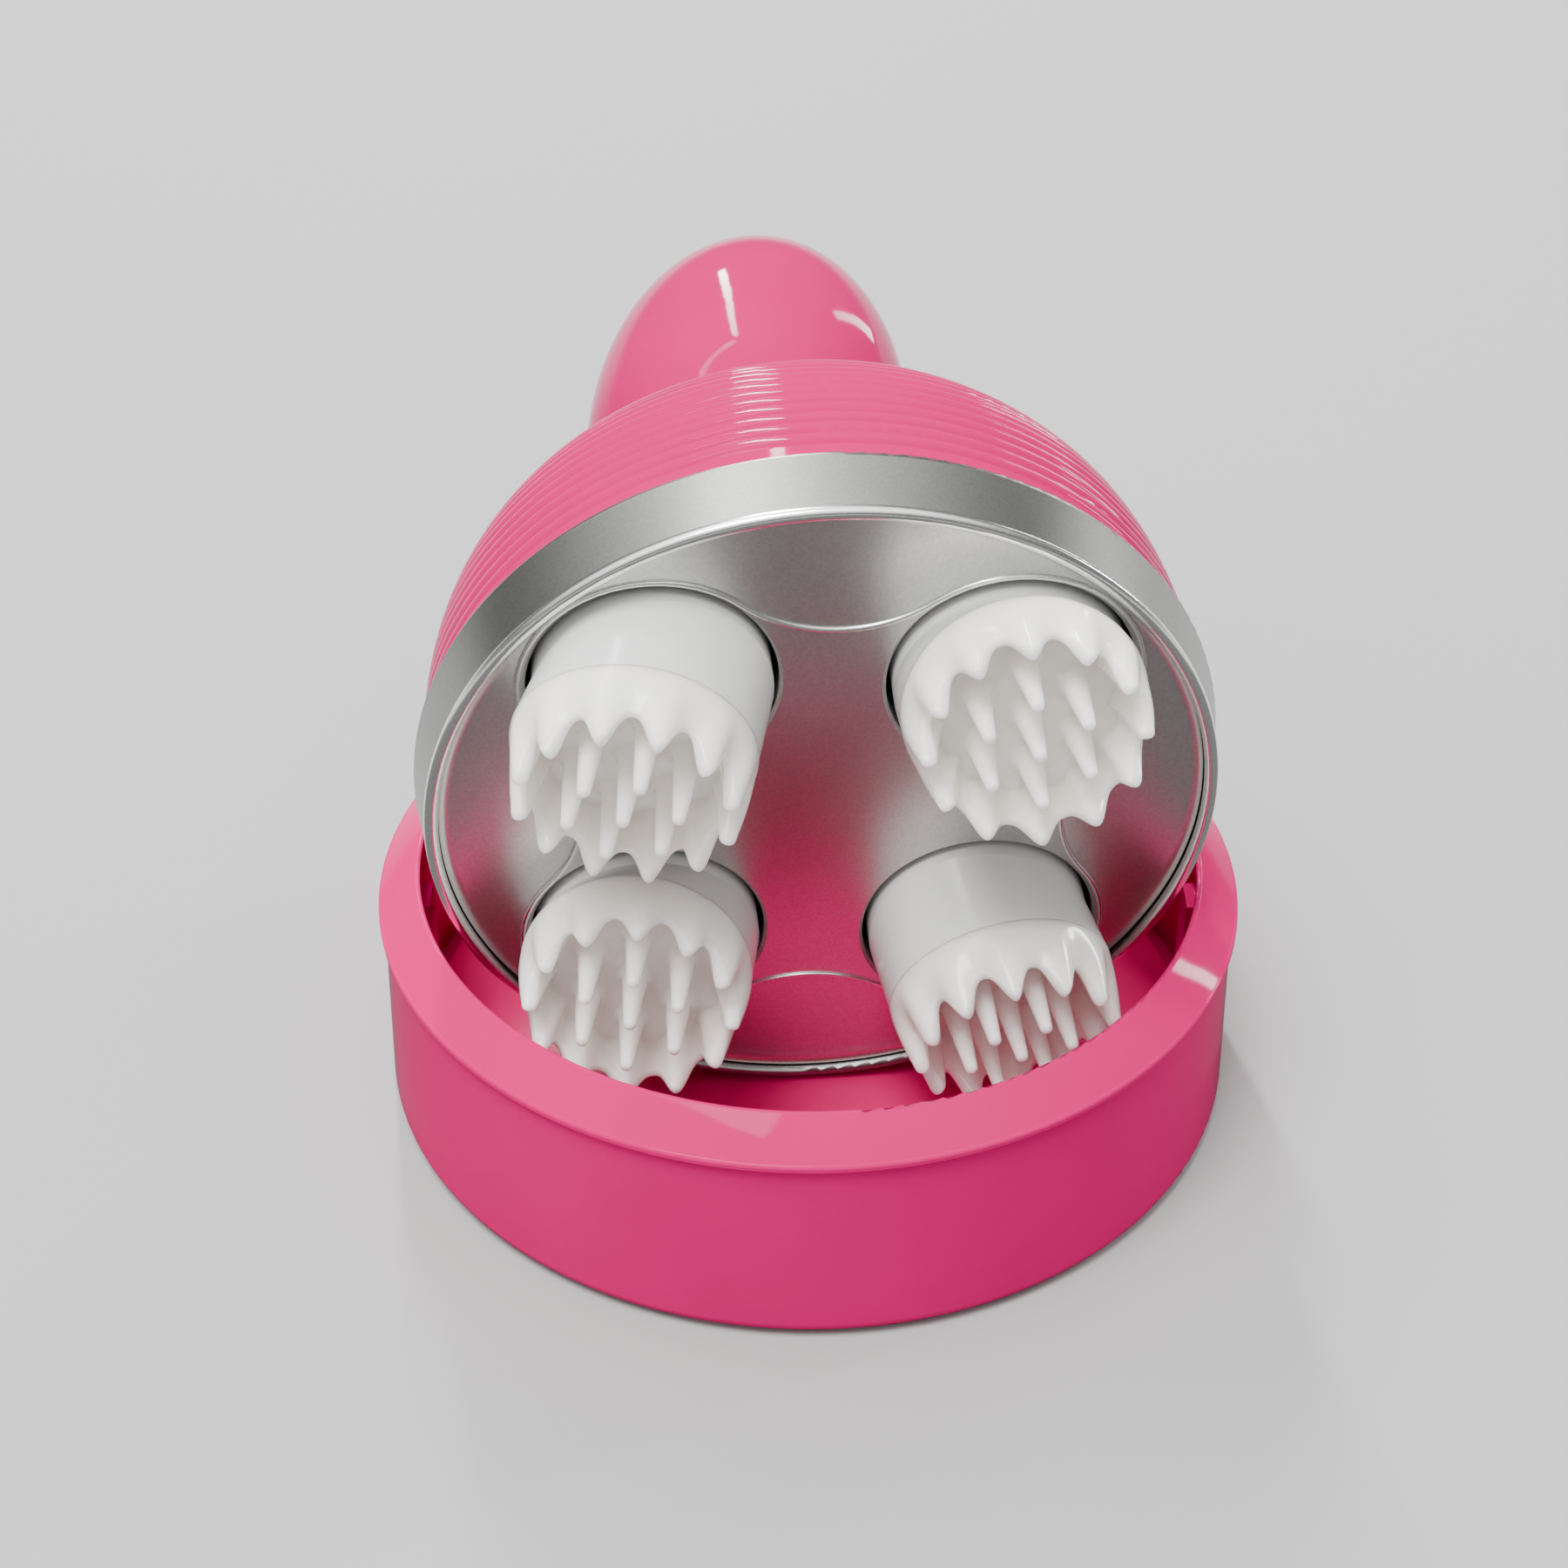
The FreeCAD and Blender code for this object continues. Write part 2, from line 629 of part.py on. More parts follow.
# Ribbed dome: fine round ribs between grooves, smooth crown, spigot at the front
def dome_shell():
    line = dome_line(0.0)
    path = [(DOME_R, BAND_S), (DOME_R, DOME_S)]
    last = GROOVE_FIRST + (GROOVES - 1) * GROOVE_PITCH
    path.append(smooth_part(line, 0.0, GROOVE_FIRST - 0.45, 4))

    def groove(l):
        r, s, nr, ns = along(line, l)
        return r - GROOVE_DEPTH * nr, s - GROOVE_DEPTH * ns

    path.append(groove(GROOVE_FIRST))
    for i in range(GROOVES - 1):
        crest = along(line, GROOVE_FIRST + (i + 0.5) * GROOVE_PITCH)[:2]
        path.append(groove(GROOVE_FIRST + (i + 1) * GROOVE_PITCH) + crest)
    path.append(along(line, last + 0.45)[:2])
    path.append(smooth_part(line, last + 0.45, length_to(line, 1.5), 16))
    path.append((0, DOME_S + DOME_D))
    inner = dome_line(-DOME_T)
    back = smooth_part(inner, 0.0, length_to(inner, 1.5), 30)
    path.append((0, DOME_S + DOME_D - DOME_T))
    path.append(back[-1])
    path.append(list(reversed(back[:-1])))
    spigot = BAND_IN_R - SLIP
    front = BACK_S + WELL_RIM_T + SLIP
    path.append((spigot - DOME_SPIGOT, DOME_S + 1.5))
    path.append((spigot - DOME_SPIGOT, front))
    path.append((spigot, front))
    path.append((spigot, BAND_S))
    shell = turned(path, -1)
    bosses = []
    room = dome_solid(-1.0)
    for x, y in PILLARS:
        bosses.append(rod(PILLAR_R + 0.4, -DOME_S - DOME_D, -FRAME_S - FRAME_T, x, y).common(room))
    shell = shell.multiFuse(bosses)
    for x, y in PILLARS:
        shell = shell.cut(rod(CASE_SCREW_R + RUN, -FRAME_S - FRAME_T - 9, 0, x, y))
    shell = shell.cut(placed(rod(CELL_R + 0.4, -NECK_L - 16, -NECK_L + 14), KNOB))
    for x, y, seat in neck_seats():
        hole = rod(1.4, seat - 1, -NECK_L + 14, x, y).fuse(rod(NECK_HEAD_R + SEAM, seat - 5, seat, x, y))
        shell = shell.cut(placed(hole, KNOB))
    return whole(shell)


# The neck's curve: how far it lies inside the knob's radius, and where along the neck
NECK_CURVE = (
    (-1.15, 1.364), (1.35, 1.219), (2.85, 1.074), (3.55, 0.930), (3.65, 0.764), (2.65, 0.579), (0.95, 0.372),
)


# Knob outline: a long round bulb with a waisted neck
def knob_body(thin):
    r = KNOB_R - thin
    l = KNOB_L - thin
    low = -NECK_L / 6
    sweep = [(KNOB_R - thin - drop, -NECK_L * share) for drop, share in NECK_CURVE]
    sweep.append((r * math.sqrt(1 - (low / l) ** 2), low))
    for i in range(1, 25):
        t = low + (l - 0.02 - low) * math.sin(math.pi / 2 * i / 24)
        sweep.append((r * math.sqrt(1 - (t / l) ** 2), t))
    return turned([(0, sweep[0][1]), sweep[0], sweep[1:], (0, l)])


# Button and inlet lid, measured from the knob's end and from the inlet
COLLAR_T0 = KNOB_L - BUTTON_DEPTH + BUTTON_FLANGE_T + FREE
STEM_T0 = BOARD_T0 + BOARD_T + 4.9
LID_W = PORT_W + 2 * LID_EDGE
LID_H = PORT_H + 2 * LID_EDGE


# Handle: hollow knob with board posts, button collar, neck bosses and the charge slot
def handle_shell(dome_room):
    shell = knob_body(0.0).cut(knob_body(KNOB_T))
    inside = knob_body(KNOB_T - 0.6)
    board_top = BOARD_T0 + BOARD_T
    hole_r = BUTTON_R + FREE
    extra = [rod(POST_R, board_top, KNOB_L, x, y).common(inside) for x, y in POSTS]
    extra.append(tube(hole_r + COLLAR_T, hole_r, COLLAR_T0, KNOB_L).common(inside))
    for x, y in NECK_SPOTS:
        extra.append(rod(NECK_BOSS_R, -1.36 * NECK_L, -NECK_L / 2, x, y).common(inside))
    shell = shell.multiFuse(extra)
    cuts = [rod(hole_r, COLLAR_T0 - 1.6, KNOB_L + 2)]
    cuts += [rod(0.9, board_top - 1, board_top + 5, x, y) for x, y in POSTS]
    cuts += [rod(1.0, -1.4 * NECK_L, -NECK_L + 9, x, y) for x, y in NECK_SPOTS]
    cuts.append(port_prism(PORT_W + 0.7, PORT_H + 0.7, PORT_OUT - 2.4, KNOB_R + 3))
    shell = shell.cut(cuts)
    recess = port_prism(LID_W + 2 * SEAM, LID_H + 2 * SEAM, PORT_OUT - 2.4, KNOB_R + 3)
    shell = shell.cut(recess.cut(knob_body(LID_T + 0.15)))
    return whole(placed(shell, KNOB).cut(dome_room))


# Rounded bar along the charge inlet's direction, which is the handle's underside
def port_prism(width, height, r0, r1):
    mid = BOARD_T0 + BOARD_T + PORT_H / 2
    half = (width - height) / 2
    bar = Part.makeBox(2 * half, r1 - r0, height, V(-half, -r1, mid - height / 2))
    ends = [Part.makeCylinder(height / 2, r1 - r0, V(x, -r1, mid), V(0, 1, 0)) for x in (-half, half)]
    return whole(bar.multiFuse(ends).removeSplitter())


def charge_port():
    back = PORT_OUT - PORT_DEPTH
    outer = port_prism(PORT_W, PORT_H, back, PORT_OUT)
    hollow = port_prism(PORT_W - 2 * PORT_WALL, PORT_H - 2 * PORT_WALL, back + 0.8, PORT_OUT + 1)
    return whole(outer.cut(hollow))


# Soft plug: a lid flush with the handle and a tongue in the inlet
def port_plug():
    lid = port_prism(LID_W, LID_H, PORT_OUT - 2.4, KNOB_R + 3).common(knob_body(0.08)).cut(knob_body(LID_T))
    inside = 2 * PORT_WALL + 0.8
    tongue = port_prism(PORT_W - inside, PORT_H - inside, PORT_OUT - 3.0, KNOB_R)
    return whole(lid.fuse(tongue.common(knob_body(LID_T / 2))))


# Button: domed cap, flange kept behind the collar, and a stem over the switch
def button_cap():
    edge = BUTTON_R - 0.5
    low = KNOB_L - 0.85
    high = KNOB_L + 0.3
    ball = (edge * edge + (high - low) ** 2) / (2 * (high - low))
    drop = ball - math.sqrt(ball * ball - edge * edge / 4)
    flange = BUTTON_R + BUTTON_FLANGE
    back = KNOB_L - BUTTON_DEPTH
    return turned([
        (0, STEM_T0), (2.0, STEM_T0), (2.0, back), (flange, back), (flange, back + BUTTON_FLANGE_T),
        (BUTTON_R, back + BUTTON_FLANGE_T), (BUTTON_R, low - 0.55),
        (edge, low, BUTTON_R - 0.13, low - 0.15), (0, high, edge / 2, high - drop),
    ])


def board():
    plate = rod(BOARD_R, BOARD_T0, BOARD_T0 + BOARD_T)
    return whole(plate.cut([rod(1.1, BOARD_T0 - 1, BOARD_T0 + BOARD_T + 1, x, y) for x, y in POSTS]))


def switch():
    top = BOARD_T0 + BOARD_T
    body = Part.makeBox(6, 6, 2.6, V(-3, -3, top))
    return whole(body.fuse(rod(1.7, top + 2, STEM_T0 - BUTTON_STROKE - 0.1)))


def battery():
    top = BOARD_T0 - CELL_GAP
    return turned([
        (0, top - CELL_L), (CELL_R - 0.6, top - CELL_L), (CELL_R, top - CELL_L + 0.6),
        (CELL_R, top - 1.4), (CELL_R - 0.6, top - 0.8), (3.0, top - 0.8), (3.0, top), (0, top),
    ])


def battery_sleeve():
    top = BOARD_T0
    r = CELL_R + SLIP
    return turned([
        (0, top - CELL_GAP), (r, top - CELL_GAP), (r, top - CELL_L), (r + SLEEVE_T, top - CELL_L),
        (r + SLEEVE_T, top), (0, top),
    ])


# Gearhead with a locating boss and a bearing bore, and the motor behind it
def gearhead():
    back = FRAME_S + FRAME_T
    front = FRAME_S + 0.6
    body = turned([
        (0, front), (GEARHEAD_BOSS_R, front), (GEARHEAD_BOSS_R, back), (GEARHEAD_R, back),
        (GEARHEAD_R, back + GEARHEAD_L), (0, back + GEARHEAD_L),
    ], -1)
    holes = [rod(DRIVE_R + RUN, -back - DRIVE_DEPTH - SEAM, 0)]
    holes += [rod(0.9, -back - 5, 0, x, y) for x, y in ring_points(MOTOR_SCREW_RING, 2, ROLL)]
    return whole(body.cut(holes))


def motor_can():
    front = FRAME_S + FRAME_T + GEARHEAD_L
    back = front + MOTOR_L
    return turned([
        (0, front), (MOTOR_R, front), (MOTOR_R, back - 0.8),
        (MOTOR_R - 0.8, back, MOTOR_R - 0.23, back - 0.23),
        (MOTOR_BOSS_R, back), (MOTOR_BOSS_R, back + MOTOR_BOSS_L), (0, back + MOTOR_BOSS_L),
    ], -1)


def drive_shaft():
    top = GEAR_S - 0.6
    end = FRAME_S + FRAME_T + DRIVE_DEPTH
    return turned([(0, top), (DRIVE_R - 0.3, top), (DRIVE_R, top + 0.3), (DRIVE_R, end), (0, end)], -1)


def build_cup(dome_room):
    save("cup_shell", cup_shell())
    save("cup_rim", cup_rim())
    save("cup_tray", cup_tray())
    save("cup_cradle", cup_cradle(dome_room))
    save("cup_weight", cup_weight())
    save("cup_pad", turned([(0, 0), (PAD_R - 0.4, 0), (PAD_R, 0.4), (PAD_R, PAD_H), (0, PAD_H)]))
    screw = flat_screw(CUP_SCREW_R, CUP_SCREW_HEAD_R, CUP_SCREW_HEAD_H, CUP_SCREW_L)
    save_group("cup_screws", [placed(screw, Place(V(x, y, PAD_H + 0.05), Turn())) for x, y in CUP_SCREWS])


def build_case():
    save("trim_band", placed(trim_band(), POSE))
    save("face_plate", placed(face_plate(), POSE))
    save("face_insert", placed(face_insert(), POSE))
    save("well_plate", placed(well_plate(), POSE))
    save("gear_frame", placed(gear_frame(), POSE))
    save("dome_shell", placed(dome_shell(), POSE))
    front = bush(WELL_BACK, WELL_BACK + BUSH_FLANGE_T, WELL_FLOOR, WELL_BACK + 0.1)
    rear = bush(FRAME_S - BUSH_FLANGE_T, FRAME_S, FRAME_S - 0.1, FRAME_S + FRAME_T)
    seal = placed(tube(BUSH_FLANGE + 0.4, SHAFT_R + 0.35, 0, SEAL_T), Place(V(0, 0, -WELL_FLOOR), Turn()))
    for i, (x, y) in enumerate(HOLES, 1):
        spot = Place(V(x, y, 0), Turn())
        save("bush_front_%d" % i, placed(front, spot, POSE))
        save("bush_rear_%d" % i, placed(rear, spot, POSE))
        save("shaft_seal_%d" % i, placed(seal, spot, POSE))
    seat = -BACK_S - WELL_RIM_T - 0.1
    long_screw = pan_screw(CASE_SCREW_R, CASE_HEAD_R, WELL_RIM_T, FRAME_S + FRAME_T + 6 + seat)
    long_screw.rotate(V(0, 0, 0), V(1, 0, 0), 180)
    screws = [placed(long_screw, Place(V(x, y, seat), Turn()), POSE) for x, y in PILLARS]
    save_group("case_screws", screws)


def build_drive():
    save("gearhead", placed(gearhead(), POSE))
    save("motor_can", placed(motor_can(), POSE))
    screw = pan_screw(0.85, 1.8, 1.2, FRAME_T + 4)
    screw.rotate(V(0, 0, 0), V(1, 0, 0), 180)
    spots = ring_points(MOTOR_SCREW_RING, 2, ROLL)
    screws = [placed(screw, Place(V(x, y, -FRAME_S), Turn()), POSE) for x, y in spots]
    save_group("motor_screws", screws)
    save("drive_shaft", placed(drive_shaft(), POSE))
    mesh = Place(V(0, 0, 0), Turn(V(0, 0, 1), 45 + ROLL))
    save("sun_gear", placed(spur_gear(SUN_TEETH, DRIVE_R + SEAT), mesh, POSE))


def build_heads():
    cup = head_cup()
    soft = soft_head()
    shaft = output_shaft()
    gear = spur_gear(HEAD_TEETH, SHAFT_R + SEAT)
    for i, (x, y) in enumerate(HOLES, 1):
        toward_sun = 45 + ROLL + 90 * (i - 1) + 180
        spot = Place(V(x, y, 0), Turn())
        leaning = Place(V(x, y, 0), Turn(V(0, 0, 1), HEAD_LEAN_TO[i - 1]))
        meshed = Place(V(x, y, 0), Turn(V(0, 0, 1), toward_sun + 180.0 / HEAD_TEETH))
        save("output_shaft_%d" % i, placed(shaft, spot, POSE))
        save("head_gear_%d" % i, placed(gear, meshed, POSE))
        save("head_cup_%d" % i, placed(cup, leaning, POSE))
        phase = Place(V(0, 0, 0), Turn(V(0, 0, 1), FINGER_TURN[i - 1]))
        save("soft_head_%d" % i, placed(soft, phase, TIP, leaning, POSE))


def build_handle():
    save("handle_shell", placed(handle_shell(dome_solid(0.05)), POSE))
    for name, shape in (
        ("board", board()), ("switch", switch()), ("battery", battery()),
        ("battery_sleeve", battery_sleeve()), ("charge_port", charge_port()), ("port_plug", port_plug()),
        ("button_cap", button_cap()),
    ):
        save(name, placed(shape, KNOB, POSE))
    screw = pan_screw(0.85, 1.7, 1.1, BOARD_T + 4)
    screws = [placed(screw, Place(V(x, y, BOARD_T0), Turn()), KNOB, POSE) for x, y in POSTS]
    save_group("board_screws", screws)
    screw = pan_screw(0.95, NECK_HEAD_R, 1.1, 7.0)
    save_group("handle_screws", [placed(screw, Place(V(*seat), Turn()), KNOB, POSE) for seat in neck_seats()])


def main():
    dome_room = placed(dome_solid(0.35), POSE)
    build_cup(dome_room)
    build_case()
    build_drive()
    build_heads()
    build_handle()


main()
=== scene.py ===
import cmath
import json
import math
from operator import mul
from typing import NamedTuple

import bmesh
import bpy
from bpy.props import FloatProperty, FloatVectorProperty, IntProperty, PointerProperty
from mathutils import Matrix, Vector


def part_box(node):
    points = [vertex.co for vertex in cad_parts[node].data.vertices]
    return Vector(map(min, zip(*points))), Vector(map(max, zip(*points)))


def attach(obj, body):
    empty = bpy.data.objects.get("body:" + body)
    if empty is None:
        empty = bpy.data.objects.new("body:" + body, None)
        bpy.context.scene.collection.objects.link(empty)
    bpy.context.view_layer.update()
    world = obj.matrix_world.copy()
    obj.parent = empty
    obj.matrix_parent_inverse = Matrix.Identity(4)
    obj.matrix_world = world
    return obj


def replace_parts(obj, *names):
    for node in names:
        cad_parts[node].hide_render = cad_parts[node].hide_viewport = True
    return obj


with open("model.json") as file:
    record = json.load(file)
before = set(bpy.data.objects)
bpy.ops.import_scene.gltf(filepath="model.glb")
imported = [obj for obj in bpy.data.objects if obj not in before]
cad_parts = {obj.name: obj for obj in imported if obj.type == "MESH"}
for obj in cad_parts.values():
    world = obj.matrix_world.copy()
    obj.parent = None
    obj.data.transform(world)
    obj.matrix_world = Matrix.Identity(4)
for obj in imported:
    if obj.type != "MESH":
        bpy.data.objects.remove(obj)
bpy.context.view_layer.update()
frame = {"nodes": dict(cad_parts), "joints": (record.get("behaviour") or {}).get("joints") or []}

bl_info = {
    "name": "Scalp massager in its cup",
    "version": (1, 0, 0),
    "blender": (4, 5, 0),
    "location": "3D View > Sidebar > Massager",
    "description": "Dresses a four-head scalp massager and its cup, and sets up a plain studio",
    "category": "Object",
}

MM = 0.001
NODES = frame["nodes"]
JOINTS = {joint["name"]: joint for joint in frame["joints"]}
HEADS = (1, 2, 3, 4)

# Degrees for each head: where its tilted axis leans to, and how far its fingers are turned about it
HEAD_LEANS = (88.0, -144.0, 124.0, -52.0)
FINGER_TURNS = (7.0, -25.0, 21.0, 0.0)
OUTER_FINGERS = 6

# Scalloped edge: how narrow its teeth are, and shares of the tip's radius at a notch and at a tooth
TOOTH_SHARPNESS = 1.4
NOTCH_TIP = 0.8
TOOTH_TIP = 1.2

# Where the face's turned-up edge bends up, as a share of its width from the outside
BRIM_BEND = 1 / 3

# Heights, as shares of the lip's radius, between which a bead grows from its least share to its full radius
BEAD_FADE_FOOT = -0.85
BEAD_FADE_TOP = -0.45
LIP_BEAD_LEAST = 0.1
INSERT_BEAD_LEAST = 0.5

# How finely curves are drawn, and the angle past which an edge stays sharp
COLUMNS_PER_TOOTH = 16
FINGER_SIDES = 32
RING_SIDES = 180
BEAD_SIDES = 12
ARC_STEPS = 12
WALL_STEPS = 10
TIP_STEPS = 8
FLARE_STEPS = 4
TAPER_STEPS = 5
BRIM_STEPS = 8
SHARP_EDGE = math.radians(50)


class Lamp(NamedTuple):
    """Rectangular area lamp: where it stands and its size in metres, and its power in watts"""

    name: str
    spot: tuple
    width: float
    height: float
    power: float


LAMP_TARGET = Vector((0.0, 0.0, 0.04))
LAMPS = (
    Lamp("key", spot=(-0.24, -0.30, 1.0), width=0.42, height=0.42, power=15.0),
    Lamp("strip", spot=(-0.08, 0.82, 0.72), width=0.045, height=0.70, power=13.0),
    Lamp("window", spot=(0.95, 0.33, 0.33), width=0.05, height=0.30, power=3.5),
    Lamp("crest", spot=(-0.28, 0.38, 1.0), width=0.5, height=0.05, power=3.0),
    Lamp("edge", spot=(0.56, 0.80, 0.22), width=0.05, height=0.35, power=1.2),
)


def linear(code):
    """An sRGB hex colour as linear red, green, blue and alpha."""
    levels = [int(code[i:i + 2], 16) / 255 for i in (1, 3, 5)]
    light = [v / 12.92 if v <= 0.04045 else ((v + 0.055) / 1.055) ** 2.4 for v in levels]
    return (*light, 1.0)


def colour(label, words, code):
    """Setting that holds a colour, given as sRGB hex."""
    return FloatVectorProperty(name=label, description=words, subtype="COLOR", size=4,
                               default=linear(code), min=0.0, max=1.0)


def length(label, words, mm):
    """Setting that holds a length, given in millimetres."""
    return FloatProperty(name=label, description=words, unit="LENGTH", default=mm * MM, precision=5)


def angle(label, words, degrees):
    """Setting that holds an angle, given in degrees."""
    return FloatProperty(name=label, description=words, unit="ROTATION", subtype="ANGLE",
                         default=math.radians(degrees))


class FinishSettings(bpy.types.PropertyGroup):
    """Colours of the finishes"""

    # Painted shade: the cup's pink made darker for the dome and handle, against the stronger light on them
    shell: colour("Shell", "Gloss ABS of the dome and handle", "#B6065A")
    cup: colour("Cup", "Gloss ABS of the cup and its rim", "#CB0865")
    # Painted light: the tray takes a lighter pink than the cup, to brighten the shaded pocket inside the cup
    tray: colour("Tray", "Gloss ABS of the tray inside the cup", "#DC1A6C")
    band: colour("Band", "Satin lacquer of the band", "#8E8E8C")
    # Painted light: the band's lacquer made lighter for the face and insert, so they mirror the shaded
    # pocket brighter
    face: colour("Face", "Satin lacquer of the face and its insert", "#CCCCCA")
    # Painted highlight: the beads take the lacquer made much lighter, so their real reflections shine as
    # bright lines
    bead: colour("Bead", "Bright lacquer of the rolled beads", "#F0F0EE")
    head: colour("Head cup", "White ABS of the cups that carry the soft heads", "#DADAD8")
    silicone: colour("Silicone", "Milky silicone of the soft heads", "#F8F3EC")
    button: colour("Button", "Gloss ABS of the power button", "#F1F0EE")


class SoftHeadSettings(bpy.types.PropertyGroup):
    """Sizes of one soft head, measured along and from its own tilted axis"""

    teeth: IntProperty(name="Teeth", description="Teeth round the skirt", default=12, min=3)
    tilt: angle("Tilt", "Angle between the head's axis and its shaft", 12.0)
    pivot: length("Pivot", "How far behind the face the two axes cross", 8.0)
    seam: length("Seam", "Height of the seam with the head cup", 14.2)
    floor: length("Floor", "Height of the floor between the fingers", 15.6)
    notch: length("Notch", "Height of the skirt between two teeth", 19.6)
    tooth: length("Tooth", "Height of a tooth's tip", 23.6)
    finger: length("Finger", "Height of an inner finger's tip", 25.1)
    wall: length("Wall", "Outer radius at the seam", 13.5)
    tip_ring: length("Tip ring", "Radius of the ring of tooth tips", 11.55)
    tip: length("Tip", "Radius of a rounded tip", 0.75)
    pitch: length("Pitch", "Distance between inner fingers", 6.07)
    root: length("Root", "Radius of an inner finger at the floor", 1.65)
    flute: length("Flute", "How far the skirt draws in between two teeth", 0.6)
    chamfer: length("Chamfer", "Bevel at the seam with the head cup", 0.12)
    bend: length("Bend", "How far behind the floor the wall starts to bend in", 0.9)
    swell: length("Swell", "How far the wall swells at a tooth", 0.1)
    swell_rise: length("Swell rise", "Height of the swell above the floor", 1.8)
    thickness: length("Thickness", "Thickness of the skirt at the floor", 3.6)
    buttress: length("Buttress", "Thickness added behind a tooth", 1.0)
    cove: length("Cove", "How far the skirt's inside curves out into the floor", 0.5)
    cove_rise: length("Cove rise", "Height of that curve above the floor", 0.2)
    sink: length("Sink", "How deep a finger's root is sunk in the floor", 0.8)
    flare: length("Flare", "How far a finger's root spreads", 0.7)
    flare_drop: length("Flare drop", "How far behind the floor the spread root starts", 0.05)
    flare_rise: length("Flare rise", "Height above the floor where the root's curve is hollow", 0.15)
    neck: length("Neck", "How much narrower a finger is above its root", 0.15)
    neck_rise: length("Neck rise", "Height above the floor where the taper starts", 1.1)


class FaceSettings(bpy.types.PropertyGroup):
    """Sizes of the silver face and its beads, measured in the plane of the band's front and behind it"""

    depth: length("Depth", "Depth of the face's front", 1.6)
    back: length("Back", "Depth of the face's back", 3.2)
    edge_step: length("Edge step", "From the band's outside to the face's edge", 2.8)
    brim: length("Brim", "Width of the face's turned-up edge", 1.3)
    rise: length("Rise", "How far the turned-up edge rises", 0.5)
    lobe: length("Lobe", "Radius of the insert's lobes round the head holes", 14.8)
    waist: length("Waist", "From the face's middle to the insert's edge between two lobes", 27.6)
    bead: length("Bead", "Radius of the bead round the insert", 0.36)
    lip_bead: length("Lip bead", "Radius of the bead over the band's lip", 0.82)
    lip_step: length("Lip step", "From the band's outside to the bead over its lip", 1.95)
    lip_depth: length("Lip depth", "Depth of the bead over the lip", 0.45)


class StageSettings(bpy.types.PropertyGroup):
    """Camera, floor and lamps"""

    lens: FloatProperty(name="Lens", description="Focal length on a 36 mm sensor", unit="CAMERA",
                        default=64.62)
    spot: FloatVectorProperty(name="Camera", description="Where the camera stands", subtype="XYZ",
                              unit="LENGTH", default=(-0.0266, -0.27625, 0.2394))
    aim: FloatVectorProperty(name="Aim", description="Direction that the camera looks in",
                             subtype="DIRECTION", default=(0.0692, 0.8092, -0.5834))
    floor: colour("Floor", "Pale floor", "#A6A6A6")
    floor_reach: length("Floor reach", "How far the floor reaches to each side", 40000.0)
    flag: colour("Flag", "Dark card in front of the cup, which only glossy finishes mirror", "#4A4A4A")
    flag_side: length("Flag side", "How far the flag reaches to each side", 300.0)
    flag_front: length("Flag front", "How far the flag reaches in front of the cup's middle", 500.0)
    flag_back: length("Flag back", "How far the flag reaches behind the cup's middle", 20.0)
    flag_lift: length("Flag lift", "Height of the flag above the floor", 0.2)
    horizon: FloatProperty(name="Horizon", description="Strength of the light from the sides", default=0.25)
    zenith: FloatProperty(name="Zenith", description="Strength of the light from the diffuser's middle",
                          default=3.0)
    lean: FloatVectorProperty(name="Lean", description="Direction of the diffuser's middle",
                              subtype="DIRECTION", default=(-0.20, -0.15, 0.968))


class MassagerSettings(bpy.types.PropertyGroup):
    """All settings of the massager and its stage"""

    finish: PointerProperty(type=FinishSettings)
    soft: PointerProperty(type=SoftHeadSettings)
    face: PointerProperty(type=FaceSettings)
    stage: PointerProperty(type=StageSettings)


def settings():
    return bpy.context.scene.massager


def per_mm(size):
    """Texture scale that repeats a pattern about once in this many millimetres."""
    return 1.0 / (size * MM)


def new_tree(name):
    material = bpy.data.materials.new(name)
    material.use_nodes = True
    material.node_tree.nodes.clear()
    return material


def add_node(material, kind, inputs=None, stops=None, **values):
    """Adds a shader node, sets its values and colour stops, and links or sets its inputs."""
    tree = material.node_tree
    made = tree.nodes.new("ShaderNode" + kind)
    for name, value in values.items():
        setattr(made, name, value)
    if stops:
        for element, (place, tint) in zip(made.color_ramp.elements, stops):
            element.position = place
            element.color = tint
    for name, value in (inputs or {}).items():
        if isinstance(value, bpy.types.NodeSocket):
            tree.links.new(value, made.inputs[name])
        else:
            made.inputs[name].default_value = value
    return made


def shade(tint, share):
    """A colour made darker or lighter by a share."""
    return tuple(min(1.0, v * share) for v in tint[:3]) + (1.0,)


def finish_surface(material, shader):
    add_node(material, "OutputMaterial", {"Surface": shader.outputs["BSDF"]})
    return material


def moulded_abs(name, tint, rough, shine=0.5):
    """Moulded ABS: even colour with a trace of flow marks, gloss that wanders a little, fine orange peel."""
    made = new_tree(name)
    place = add_node(made, "TexCoord").outputs["Object"]
    flow = add_node(made, "TexNoise", {"Vector": place, "Scale": per_mm(24.0), "Detail": 2.0})
    base = add_node(made, "ValToRGB", {"Fac": flow.outputs["Fac"]},
                    stops=((0.3, shade(tint, 0.96)), (0.7, shade(tint, 1.03))))
    wander = add_node(made, "TexNoise", {"Vector": place, "Scale": per_mm(7.0), "Detail": 3.0})
    gloss = add_node(made, "MapRange", {
        "Value": wander.outputs["Fac"], "To Min": rough * 0.85, "To Max": rough * 1.2,
    })
    skin = add_node(made, "TexNoise", {"Vector": place, "Scale": per_mm(1.1), "Detail": 2.0})
    bump = add_node(made, "Bump", {"Height": skin.outputs["Fac"], "Strength": 0.04, "Distance": 0.05 * MM})
    shader = add_node(made, "BsdfPrincipled", {
        "Base Color": base.outputs["Color"], "Roughness": gloss.outputs["Result"], "IOR": 1.5,
        "Specular IOR Level": shine, "Normal": bump.outputs["Normal"],
    })
    return finish_surface(made, shader)


